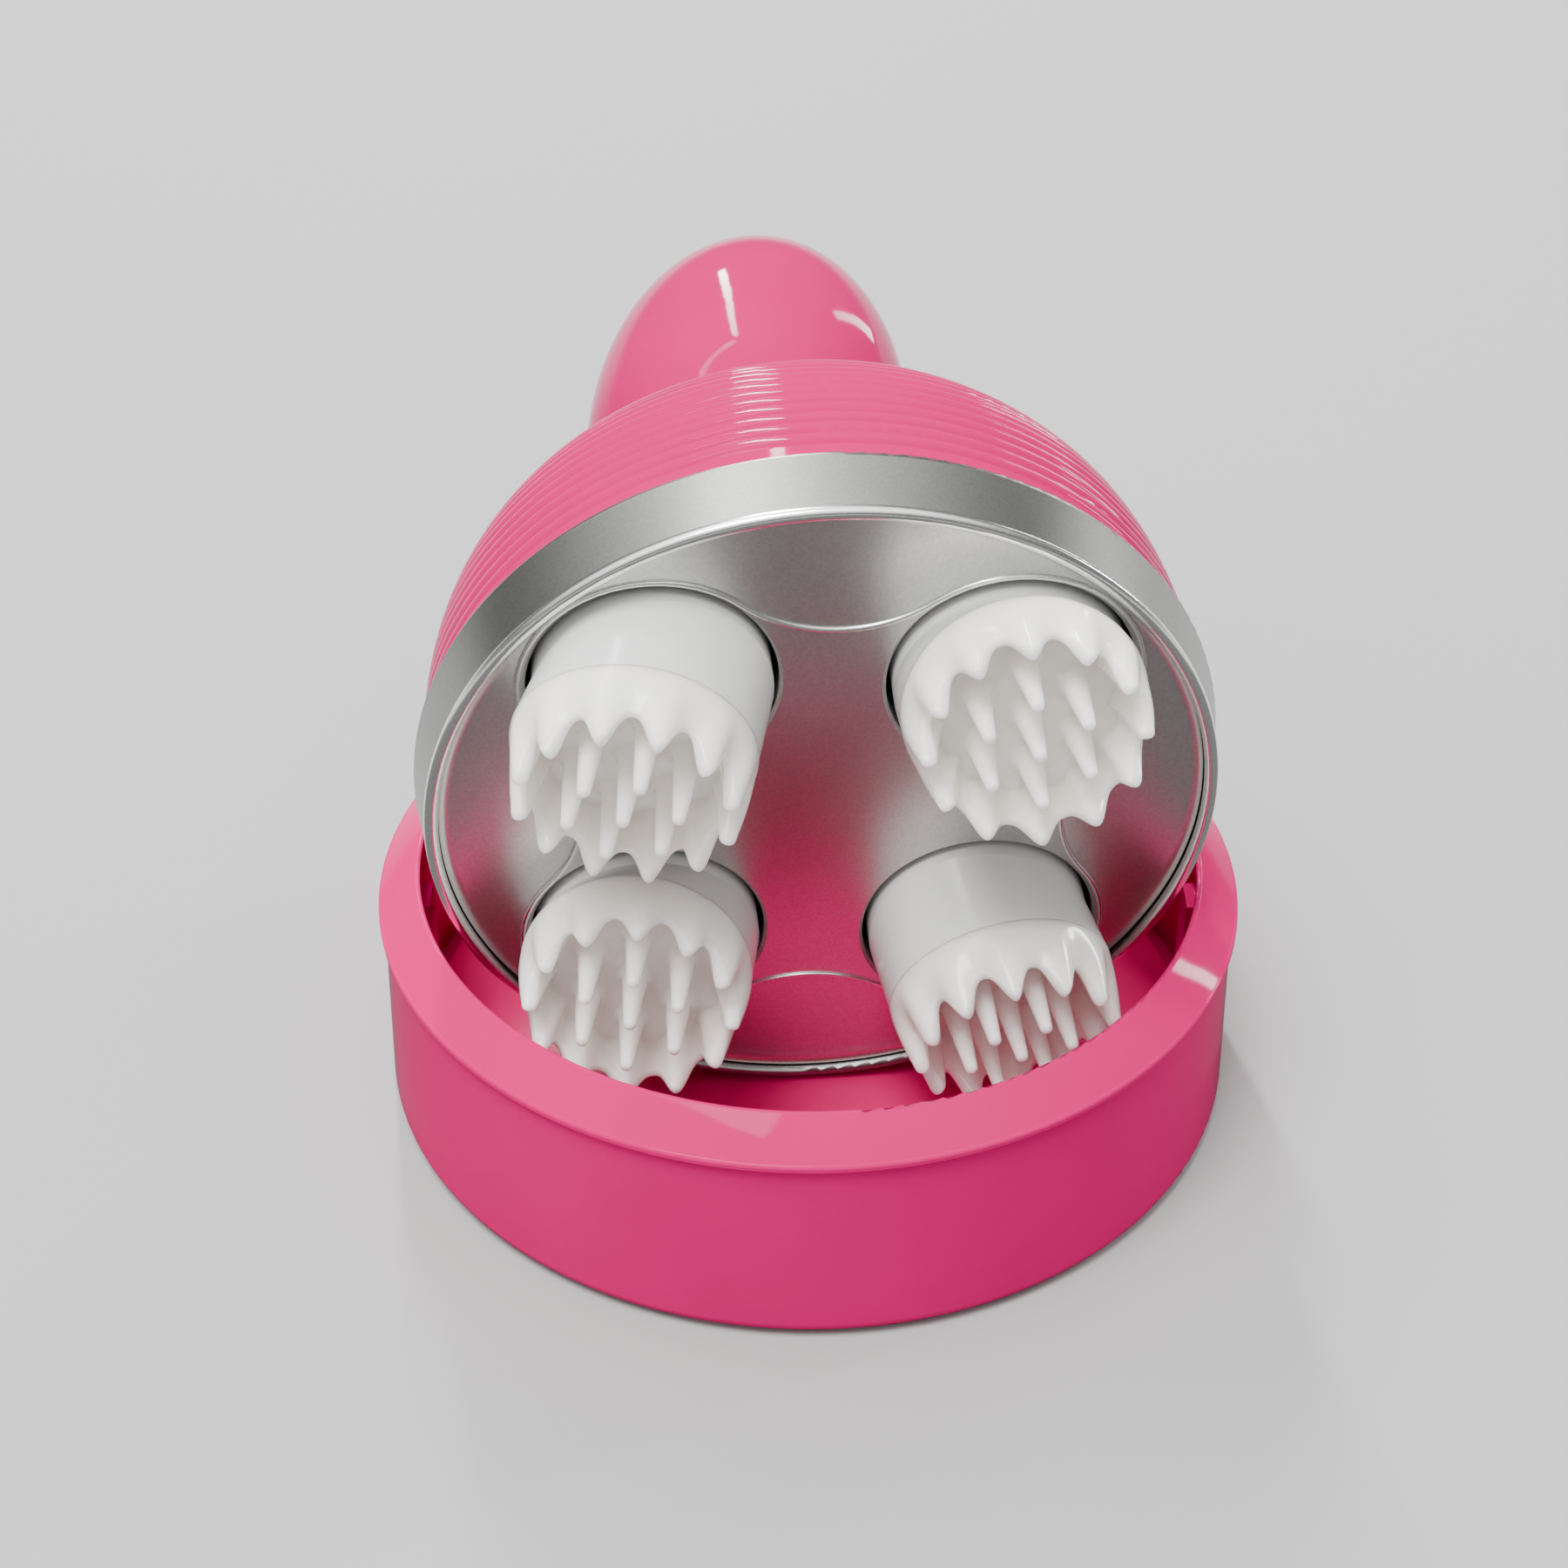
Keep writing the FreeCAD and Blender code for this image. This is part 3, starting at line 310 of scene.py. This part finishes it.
def satin_silver_lacquer(name, tint, rough):
    """Silver lacquer on ABS: metallic, with a soft, wide highlight and flakes coarse enough to show."""
    made = new_tree(name)
    place = add_node(made, "TexCoord").outputs["Object"]
    flakes = add_node(made, "TexNoise", {"Vector": place, "Scale": per_mm(0.35), "Detail": 1.0})
    base = add_node(made, "ValToRGB", {"Fac": flakes.outputs["Fac"]},
                    stops=((0.35, shade(tint, 0.93)), (0.65, shade(tint, 1.04))))
    cloud = add_node(made, "TexNoise", {"Vector": place, "Scale": per_mm(11.0), "Detail": 2.0})
    satin = add_node(made, "MapRange", {
        "Value": cloud.outputs["Fac"], "To Min": rough * 0.9, "To Max": rough * 1.15,
    })
    bump = add_node(made, "Bump", {"Height": flakes.outputs["Fac"], "Strength": 0.03, "Distance": 0.03 * MM})
    shader = add_node(made, "BsdfPrincipled", {
        "Base Color": base.outputs["Color"], "Metallic": 1.0, "Roughness": satin.outputs["Result"],
        "Normal": bump.outputs["Normal"],
    })
    return finish_surface(made, shader)


def milky_silicone(name, tint):
    """Moulded silicone: milky, with edges that light passes into and softens, and small highlights."""
    made = new_tree(name)
    place = add_node(made, "TexCoord").outputs["Object"]
    haze = add_node(made, "TexNoise", {"Vector": place, "Scale": per_mm(9.0), "Detail": 2.0})
    base = add_node(made, "ValToRGB", {"Fac": haze.outputs["Fac"]},
                    stops=((0.3, shade(tint, 0.97)), (0.7, shade(tint, 1.02))))
    film = add_node(made, "TexNoise", {"Vector": place, "Scale": per_mm(2.2), "Detail": 3.0})
    satin = add_node(made, "MapRange", {"Value": film.outputs["Fac"], "To Min": 0.12, "To Max": 0.2})
    bump = add_node(made, "Bump", {"Height": film.outputs["Fac"], "Strength": 0.05, "Distance": 0.05 * MM})
    shader = add_node(made, "BsdfPrincipled", {
        "Base Color": base.outputs["Color"], "Roughness": satin.outputs["Result"], "IOR": 1.41,
        "Subsurface Weight": 1.0, "Subsurface Radius": (0.9, 1.0, 1.0), "Subsurface Scale": 2.2 * MM,
        "Normal": bump.outputs["Normal"],
    })
    return finish_surface(made, shader)


def turned_metal(name, code, rough):
    """Turned or ground metal: fine tool marks that break the highlight."""
    tint = linear(code)
    made = new_tree(name)
    place = add_node(made, "TexCoord").outputs["Object"]
    marks = add_node(made, "TexNoise", {"Vector": place, "Scale": per_mm(0.5), "Detail": 3.0})
    base = add_node(made, "ValToRGB", {"Fac": marks.outputs["Fac"]},
                    stops=((0.3, shade(tint, 0.85)), (0.7, shade(tint, 1.05))))
    worn = add_node(made, "MapRange", {
        "Value": marks.outputs["Fac"], "To Min": rough * 0.8, "To Max": rough * 1.3,
    })
    shader = add_node(made, "BsdfPrincipled", {
        "Base Color": base.outputs["Color"], "Metallic": 1.0, "Roughness": worn.outputs["Result"],
    })
    return finish_surface(made, shader)


def soft_rubber(name, tint):
    """Moulded rubber: dull skin with a fine grain."""
    made = new_tree(name)
    place = add_node(made, "TexCoord").outputs["Object"]
    grain = add_node(made, "TexNoise", {"Vector": place, "Scale": per_mm(0.6), "Detail": 4.0})
    base = add_node(made, "ValToRGB", {"Fac": grain.outputs["Fac"]},
                    stops=((0.3, shade(tint, 0.85)), (0.7, shade(tint, 1.1))))
    bump = add_node(made, "Bump", {"Height": grain.outputs["Fac"], "Strength": 0.2, "Distance": 0.08 * MM})
    shader = add_node(made, "BsdfPrincipled", {
        "Base Color": base.outputs["Color"], "Roughness": 0.7, "IOR": 1.5, "Normal": bump.outputs["Normal"],
    })
    return finish_surface(made, shader)


def overhead_sky(name, horizon, zenith, lean):
    """Soft light from a large overhead diffuser that fades towards the horizon."""
    world = bpy.data.worlds.new(name)
    world.use_nodes = True
    world.node_tree.nodes.clear()
    place = add_node(world, "TexCoord").outputs["Generated"]
    height = add_node(world, "VectorMath", {0: place, 1: lean}, operation="DOT_PRODUCT").outputs["Value"]
    level = add_node(world, "MapRange", {
        "Value": height, "From Min": 0.35, "To Min": horizon, "To Max": zenith,
    }, interpolation_type="SMOOTHSTEP")
    glow = add_node(world, "Background", {"Strength": level.outputs["Result"]})
    add_node(world, "OutputWorld", {"Surface": glow.outputs["Background"]})
    return world


def matt_paint(name, tint):
    """Matt paint, plain and even."""
    made = new_tree(name)
    shader = add_node(made, "BsdfPrincipled", {
        "Base Color": tint, "Roughness": 0.9, "Specular IOR Level": 0.1,
    })
    return finish_surface(made, shader)


def dress(material, *names):
    """Gives CAD nodes one material."""
    for name in names:
        slots = NODES[name].data.materials
        slots.clear()
        slots.append(material)


def numbered(*stems):
    return [f"{stem}_{k}" for stem in stems for k in HEADS]


def new_object(name, mesh):
    made = bpy.data.objects.new(name, mesh)
    bpy.context.scene.collection.objects.link(made)
    return made


def look(obj, spot, direction):
    obj.location = spot
    obj.rotation_euler = Vector(direction).to_track_quat("-Z", "Y").to_euler()


def flat_card(name, across, along, height, material):
    """Level rectangle, given by where it starts and ends along X and along Y."""
    corners = [(across[i], along[j], height) for i, j in ((0, 0), (1, 0), (1, 1), (0, 1))]
    mesh = bpy.data.meshes.new(name)
    mesh.from_pydata(corners, [], [(0, 1, 2, 3)])
    mesh.materials.append(material)
    return new_object(name, mesh)


def spin_frame(name):
    """Frame of a turning joint: origin in the plane of the band's front, Z out of the face, Y up it."""
    joint = JOINTS[name]
    out = Vector(joint["axis"]).normalized()
    side = Vector((1.0, 0.0, 0.0))
    up = out.cross(side)
    turn = Matrix((side, up, out)).transposed().to_4x4()
    return Matrix.Translation(joint["pos_m"]) @ turn


def closed_mesh(name, columns, hollow=False):
    """Mesh of a ring of profiles, joined by quads, with flat ends or, if hollow, with the ends joined."""
    bm = bmesh.new()
    rings = [[bm.verts.new(point) for point in column] for column in columns]
    if hollow:
        rings = [ring + ring[:1] for ring in rings]
    else:
        bm.faces.new([ring[0] for ring in reversed(rings)])
        bm.faces.new([ring[-1] for ring in rings])
    for here, there in zip(rings, rings[1:] + rings[:1]):
        for i in range(len(here) - 1):
            bm.faces.new((here[i], there[i], there[i + 1], here[i + 1]))
    bmesh.ops.recalc_face_normals(bm, faces=bm.faces)
    mesh = bpy.data.meshes.new(name)
    bm.to_mesh(mesh)
    bm.free()
    return mesh


def bow(start, end, middle, count):
    """Points after start on a curve that leaves towards middle and arrives at end."""
    points = []
    for i in range(1, count + 1):
        k = i / count
        shares = ((1 - k) ** 2, 2 * k * (1 - k), k * k)
        points.append(tuple(sum(map(mul, shares, values)) for values in zip(start, middle, end)))
    return points


def spun(profile, turn):
    """Points (radius, height) of a profile, turned about Z."""
    return [Vector((r * math.cos(turn), r * math.sin(turn), h)) for r, h in profile]


def skirt_profile(soft, turn):
    """Half section of the soft head: wall, scalloped edge and floor. Teeth rise where the wave is high."""
    wave = (0.5 + 0.5 * math.cos(soft.teeth * turn)) ** TOOTH_SHARPNESS
    edge = soft.notch + (soft.tooth - soft.notch) * wave
    half = soft.tip * (NOTCH_TIP + (TOOTH_TIP - NOTCH_TIP) * wave)
    middle = soft.tip_ring
    outer = (middle + half, edge - half)
    inner = (middle - half, edge - half)
    foot = (soft.wall - soft.thickness - soft.buttress * wave, soft.floor)
    cove = (foot[0] + soft.cove, soft.floor + soft.cove_rise)
    start = (soft.wall, soft.floor - soft.bend)
    swell = (soft.wall + soft.swell - soft.flute * (1.0 - wave), soft.floor + soft.swell_rise)
    profile = [(soft.wall - soft.chamfer, soft.seam), (soft.wall, soft.seam + soft.chamfer), start]
    profile += bow(start, outer, swell, WALL_STEPS)
    for i in range(1, TIP_STEPS):
        lean = math.pi * i / TIP_STEPS
        profile.append((middle + half * math.cos(lean), edge - half + half * math.sin(lean)))
    return profile + [inner] + bow(inner, foot, cove, WALL_STEPS)


def finger_profile(soft):
    """Half section of an inner finger: flared root, straight taper and round tip."""
    flare = (soft.root + soft.flare, soft.floor - soft.flare_drop)
    hollow = (soft.root, soft.floor + soft.flare_rise)
    neck = (soft.root - soft.neck, soft.floor + soft.neck_rise)
    shoulder = (soft.tip, soft.finger - soft.tip)
    halfway = ((neck[0] + shoulder[0]) / 2, (neck[1] + shoulder[1]) / 2)
    profile = [(flare[0], soft.floor - soft.sink), flare]
    profile += bow(flare, neck, hollow, FLARE_STEPS)
    profile += bow(neck, shoulder, halfway, TAPER_STEPS)
    for i in range(1, TIP_STEPS):
        lean = math.pi / 2 * i / TIP_STEPS
        profile.append((soft.tip * math.cos(lean), soft.finger - soft.tip + soft.tip * math.sin(lean)))
    return profile


def joined(base, others):
    """Mesh of one object united with others, which are then removed."""
    for other in others:
        union = base.modifiers.new("union", "BOOLEAN")
        union.operation = "UNION"
        union.solver = "EXACT"
        union.object = other
    bpy.context.view_layer.update()
    mesh = bpy.data.meshes.new_from_object(base.evaluated_get(bpy.context.evaluated_depsgraph_get()))
    for made in [base, *others]:
        bpy.data.objects.remove(made)
    return mesh


def soft_head_mesh(soft):
    """The skirt united with its seven fingers."""
    count = soft.teeth * COLUMNS_PER_TOOTH
    turns = [2 * math.pi * i / count for i in range(count)]
    skirt = new_object("skirt", closed_mesh("skirt", [spun(skirt_profile(soft, a), a) for a in turns]))
    turns = [2 * math.pi * i / FINGER_SIDES for i in range(FINGER_SIDES)]
    finger = closed_mesh("finger", [spun(finger_profile(soft), a) for a in turns])
    fingers = [new_object("finger", finger)]
    for i in range(OUTER_FINGERS):
        place = cmath.rect(soft.pitch, 2 * math.pi * i / OUTER_FINGERS)
        one = new_object("finger", finger)
        one.location = (place.real, place.imag, 0.0)
        fingers.append(one)
    mesh = joined(skirt, fingers)
    mesh.shade_smooth()
    mesh.set_sharp_from_angle(angle=SHARP_EDGE)
    return mesh


def lobed_outline(face):
    """The insert's outline as complex numbers: four lobes round the head holes, joined by hollow waists."""
    hole = spin_frame("drive_spin").inverted() @ Vector(JOINTS["head_1_spin"]["pos_m"])
    circle, first = cmath.polar(complex(hole.x, hole.y))
    # Radius of the hollow arc that runs through a waist and touches the lobes at both sides
    half = circle / math.sqrt(2)
    spread = 2 * half * half - 2 * half * face.waist + face.waist ** 2 - face.lobe ** 2
    hollow = spread / (2 * (face.lobe + half - face.waist))
    points = []
    for i in range(len(HEADS)):
        lean = first + i * math.pi / 2
        inward = lean + math.pi / 4 + math.pi
        lobe_middle = cmath.rect(circle, lean)
        waist_middle = -cmath.rect(face.waist + hollow, inward)
        apart = waist_middle - lobe_middle
        sweep = cmath.phase(apart / cmath.rect(1.0, lean))
        turn = cmath.phase(-apart / cmath.rect(1.0, inward))
        steps = [k / ARC_STEPS for k in range(-ARC_STEPS, ARC_STEPS)]
        points += [lobe_middle + cmath.rect(face.lobe, lean + sweep * k) for k in steps]
        points += [waist_middle + cmath.rect(hollow, inward - turn * k) for k in steps]
    return points


def band_radius():
    """Outer radius of the silver band."""
    low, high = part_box("trim_band")
    return (high.x - low.x) / 2


def face_profile(face, seam, edge):
    """Half section of the face from the insert's seam out to the turned-up edge, and back behind it."""
    start = (edge - face.brim, -face.depth)
    bend = (edge - face.brim * BRIM_BEND, -face.depth)
    end = (edge, face.rise - face.depth)
    front = [(seam, -face.depth), start] + bow(start, end, bend, BRIM_STEPS)
    return [(seam, -face.back)] + front + [(edge, -face.back)]


def on_face(made):
    """Sets a piece of the face in place, on the massager."""
    made.matrix_world = spin_frame("drive_spin")
    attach(made, "massager")
    return made


def bead_share(place, lip, least):
    """How much of a bead's full radius is left at a place: all of it above, the least at the face's foot."""
    grown = (place.imag / lip - BEAD_FADE_FOOT) / (BEAD_FADE_TOP - BEAD_FADE_FOOT)
    return min(1.0, max(least, grown))


def rolled_bead(name, outline, depth, radii, material):
    """Closed round bead along an outline in the face's plane, with its radius at each point."""
    leans = [2 * math.pi * k / BEAD_SIDES for k in range(BEAD_SIDES)]
    columns = []
    for i, place in enumerate(outline):
        along = outline[(i + 1) % len(outline)] - outline[i - 1]
        across = radii[i] * along / abs(along) * -1j
        ring = [(place + across * math.cos(lean), radii[i] * math.sin(lean) - depth) for lean in leans]
        columns.append([Vector((point.real, point.imag, height)) for point, height in ring])
    mesh = closed_mesh(name, columns, hollow=True)
    mesh.shade_smooth()
    mesh.materials.append(material)
    return on_face(new_object(name, mesh))


class MASSAGER_OT_shells(bpy.types.Operator):
    """Gives the cup its gloss pink ABS, the dome and handle a darker copy as painted shade, the tray a
    lighter one as painted light
    """

    bl_idname = "massager.shells"
    bl_label = "Pink shells"

    def execute(self, context):
        finish = settings().finish
        # Dome and handle get a darker copy of the cup's pink, as painted shade against their stronger light
        shaded_pink = moulded_abs("abs_gloss_pink_painted_shade", finish.shell, rough=0.06, shine=0.05)
        dress(shaded_pink, "dome_shell", "handle_shell")
        dress(moulded_abs("abs_gloss_pink", finish.cup, rough=0.06, shine=0.05), "cup_shell", "cup_rim")
        # The tray and cradle get a lighter copy of the pink, as painted light in the shaded pocket
        lit_pink = moulded_abs("abs_gloss_pink_painted_light", finish.tray, rough=0.25, shine=0.05)
        dress(lit_pink, "cup_tray", "cup_cradle")
        return {"FINISHED"}


class MASSAGER_OT_face(bpy.types.Operator):
    """Gives the band its satin silver lacquer and the insert a lighter copy as painted light, and builds the
    face with its turned-up edge in that copy
    """

    bl_idname = "massager.face"
    bl_label = "Silver face"

    def execute(self, context):
        face = settings().face
        finish = settings().finish
        dress(satin_silver_lacquer("silver_lacquer_satin", finish.band, rough=0.33), "trim_band")
        # Face and insert get a lighter copy of the band's lacquer, as painted light; their reflections stay
        # real
        lit_silver = satin_silver_lacquer("silver_lacquer_painted_light", finish.face, rough=0.33)
        dress(lit_silver, "face_insert")
        edge = band_radius() - face.edge_step
        columns = [
            spun(face_profile(face, abs(place), edge), cmath.phase(place)) for place in lobed_outline(face)
        ]
        mesh = closed_mesh("face_skin", columns, hollow=True)
        mesh.shade_smooth()
        mesh.set_sharp_from_angle(angle=SHARP_EDGE)
        mesh.materials.append(lit_silver)
        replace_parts(on_face(new_object("face_skin", mesh)), "face_plate")
        return {"FINISHED"}


class MASSAGER_OT_beads(bpy.types.Operator):
    """Lays beads, made bright as painted highlight, over the band's lip and round the lobed insert"""

    bl_idname = "massager.beads"
    bl_label = "Silver beads"

    def execute(self, context):
        face = settings().face
        lip = band_radius() - face.lip_step
        ring = [cmath.rect(lip, 2 * math.pi * i / RING_SIDES) for i in range(RING_SIDES)]
        # The beads get a much lighter copy of the lacquer, as painted highlight on top of their real
        # reflections
        bright = satin_silver_lacquer("silver_lacquer_painted_highlight", settings().finish.bead, rough=0.2)
        radii = [face.lip_bead * bead_share(place, lip, LIP_BEAD_LEAST) for place in ring]
        rolled_bead("lip_bead", ring, face.lip_depth, radii, bright)
        outline = lobed_outline(face)
        radii = [face.bead * bead_share(place, lip, INSERT_BEAD_LEAST) for place in outline]
        rolled_bead("insert_bead", outline, face.depth, radii, bright)
        return {"FINISHED"}


class MASSAGER_OT_head_cups(bpy.types.Operator):
    """Gives the skewed head cups their white ABS"""

    bl_idname = "massager.head_cups"
    bl_label = "Head cups"

    def execute(self, context):
        dress(moulded_abs("abs_gloss_white", settings().finish.head, rough=0.16), *numbered("head_cup"))
        return {"FINISHED"}


class MASSAGER_OT_soft_heads(bpy.types.Operator):
    """Builds the soft heads: a skirt with scalloped teeth round seven fingers, in milky silicone"""

    bl_idname = "massager.soft_heads"
    bl_label = "Soft heads"

    def execute(self, context):
        soft = settings().soft
        mesh = soft_head_mesh(soft)
        mesh.materials.append(milky_silicone("silicone_milky", settings().finish.silicone))
        tip = Matrix.Translation((0.0, 0.0, -soft.pivot)) @ Matrix.Rotation(soft.tilt, 4, "Y")
        for k, lean, turn in zip(HEADS, HEAD_LEANS, FINGER_TURNS):
            made = new_object(f"soft_head_skin_{k}", mesh)
            leaned = spin_frame(f"head_{k}_spin") @ Matrix.Rotation(math.radians(lean), 4, "Z")
            made.matrix_world = leaned @ tip @ Matrix.Rotation(math.radians(turn), 4, "Z")
            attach(made, f"head_{k}")
            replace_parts(made, f"soft_head_{k}")
        return {"FINISHED"}


class MASSAGER_OT_controls(bpy.types.Operator):
    """Dresses the power button, the charge inlet and its soft plug"""

    bl_idname = "massager.controls"
    bl_label = "Button and inlet"

    def execute(self, context):
        finish = settings().finish
        dress(moulded_abs("abs_satin_white", finish.button, rough=0.2), "button_cap")
        # The plug takes the dome and handle's pink, which is darkened as painted shade
        dress(soft_rubber("rubber_soft_pink", finish.shell), "port_plug")
        dress(turned_metal("steel_drawn", "#B9BABC", rough=0.3), "charge_port")
        return {"FINISHED"}


class MASSAGER_OT_inner_works(bpy.types.Operator):
    """Dresses the gear train, motor, battery, board, fasteners and the cup's underside"""

    bl_idname = "massager.inner_works"
    bl_label = "Inner works"

    def execute(self, context):
        grey = moulded_abs("abs_matt_grey", linear("#595C61"), rough=0.5)
        dress(grey, "well_plate", "gear_frame", "battery_sleeve")
        ivory = moulded_abs("acetal_ivory", linear("#E4E0D2"), rough=0.4)
        dress(ivory, "sun_gear", *numbered("head_gear"))
        ground = turned_metal("steel_ground", "#A9ABAE", rough=0.25)
        dress(ground, "drive_shaft", *numbered("output_shaft"))
        dress(turned_metal("bronze_sintered", "#B08A4E", rough=0.45), *numbered("bush_front", "bush_rear"))
        zinc = turned_metal("steel_zinc_plated", "#BDBEBC", rough=0.35)
        dress(zinc, "gearhead", "motor_can", "cup_weight")
        dress(zinc, "case_screws", "handle_screws", "motor_screws", "board_screws", "cup_screws")
        black = soft_rubber("rubber_matt_black", linear("#1B1B1C"))
        dress(black, "cup_pad", "switch", *numbered("shaft_seal"))
        dress(moulded_abs("board_solder_mask", linear("#1C6B3C"), rough=0.35), "board")
        dress(moulded_abs("film_shrunk_blue", linear("#2A4E96"), rough=0.25), "battery")
        return {"FINISHED"}


class MASSAGER_OT_stage(bpy.types.Operator):
    """Makes the floor, the lamps and the camera"""

    bl_idname = "massager.stage"
    bl_label = "Stage"

    def execute(self, context):
        stage = settings().stage
        reach = (-stage.floor_reach, stage.floor_reach)
        flat_card("floor", reach, reach, 0.0, matt_paint("paint_matt_pale", stage.floor))
        across = (-stage.flag_side, stage.flag_side)
        along = (-stage.flag_front, stage.flag_back)
        dark = matt_paint("paint_matt_dark", stage.flag)
        flag = flat_card("flag", across, along, stage.flag_lift, dark)
        for rays in ("camera", "diffuse", "transmission", "volume_scatter", "shadow"):
            setattr(flag, "visible_" + rays, False)

        context.scene.world = overhead_sky("studio", stage.horizon, stage.zenith, stage.lean)

        for lamp in LAMPS:
            light = bpy.data.lights.new(lamp.name, "AREA")
            light.shape = "RECTANGLE"
            light.size = lamp.width
            light.size_y = lamp.height
            light.energy = lamp.power
            made = new_object(lamp.name, light)
            made.visible_camera = False
            look(made, lamp.spot, LAMP_TARGET - Vector(lamp.spot))

        camera = bpy.data.cameras.new("camera")
        camera.lens = stage.lens
        camera.sensor_width = 36.0
        camera.clip_start = 0.01
        made = new_object("camera", camera)
        look(made, stage.spot, stage.aim)
        context.scene.camera = made
        return {"FINISHED"}


class MASSAGER_PT_panel(bpy.types.Panel):
    """Sidebar panel that lists the pieces and the stage"""

    bl_idname = "MASSAGER_PT_panel"
    bl_label = "Massager"
    bl_space_type = "VIEW_3D"
    bl_region_type = "UI"
    bl_category = "Massager"

    def draw(self, context):
        for group in ("finish", "soft", "face", "stage"):
            box = self.layout.box()
            values = getattr(settings(), group)
            for name in values.bl_rna.properties.keys():
                if name not in {"rna_type", "name"}:
                    box.prop(values, name)
        for operator in OPERATORS:
            self.layout.operator(operator.bl_idname)


GROUPS = (FinishSettings, SoftHeadSettings, FaceSettings, StageSettings, MassagerSettings)
OPERATORS = (
    MASSAGER_OT_shells, MASSAGER_OT_face, MASSAGER_OT_beads, MASSAGER_OT_head_cups, MASSAGER_OT_soft_heads,
    MASSAGER_OT_controls, MASSAGER_OT_inner_works, MASSAGER_OT_stage,
)
CLASSES = GROUPS + OPERATORS + (MASSAGER_PT_panel,)


def register():
    for one in CLASSES:
        bpy.utils.register_class(one)
    bpy.types.Scene.massager = PointerProperty(type=MassagerSettings)


def unregister():
    del bpy.types.Scene.massager
    for one in reversed(CLASSES):
        bpy.utils.unregister_class(one)


def main():
    register()
    bpy.ops.massager.shells()
    bpy.ops.massager.face()
    bpy.ops.massager.beads()
    bpy.ops.massager.head_cups()
    bpy.ops.massager.soft_heads()
    bpy.ops.massager.controls()
    bpy.ops.massager.inner_works()
    bpy.ops.massager.stage()


if __name__ == "__main__":
    main()
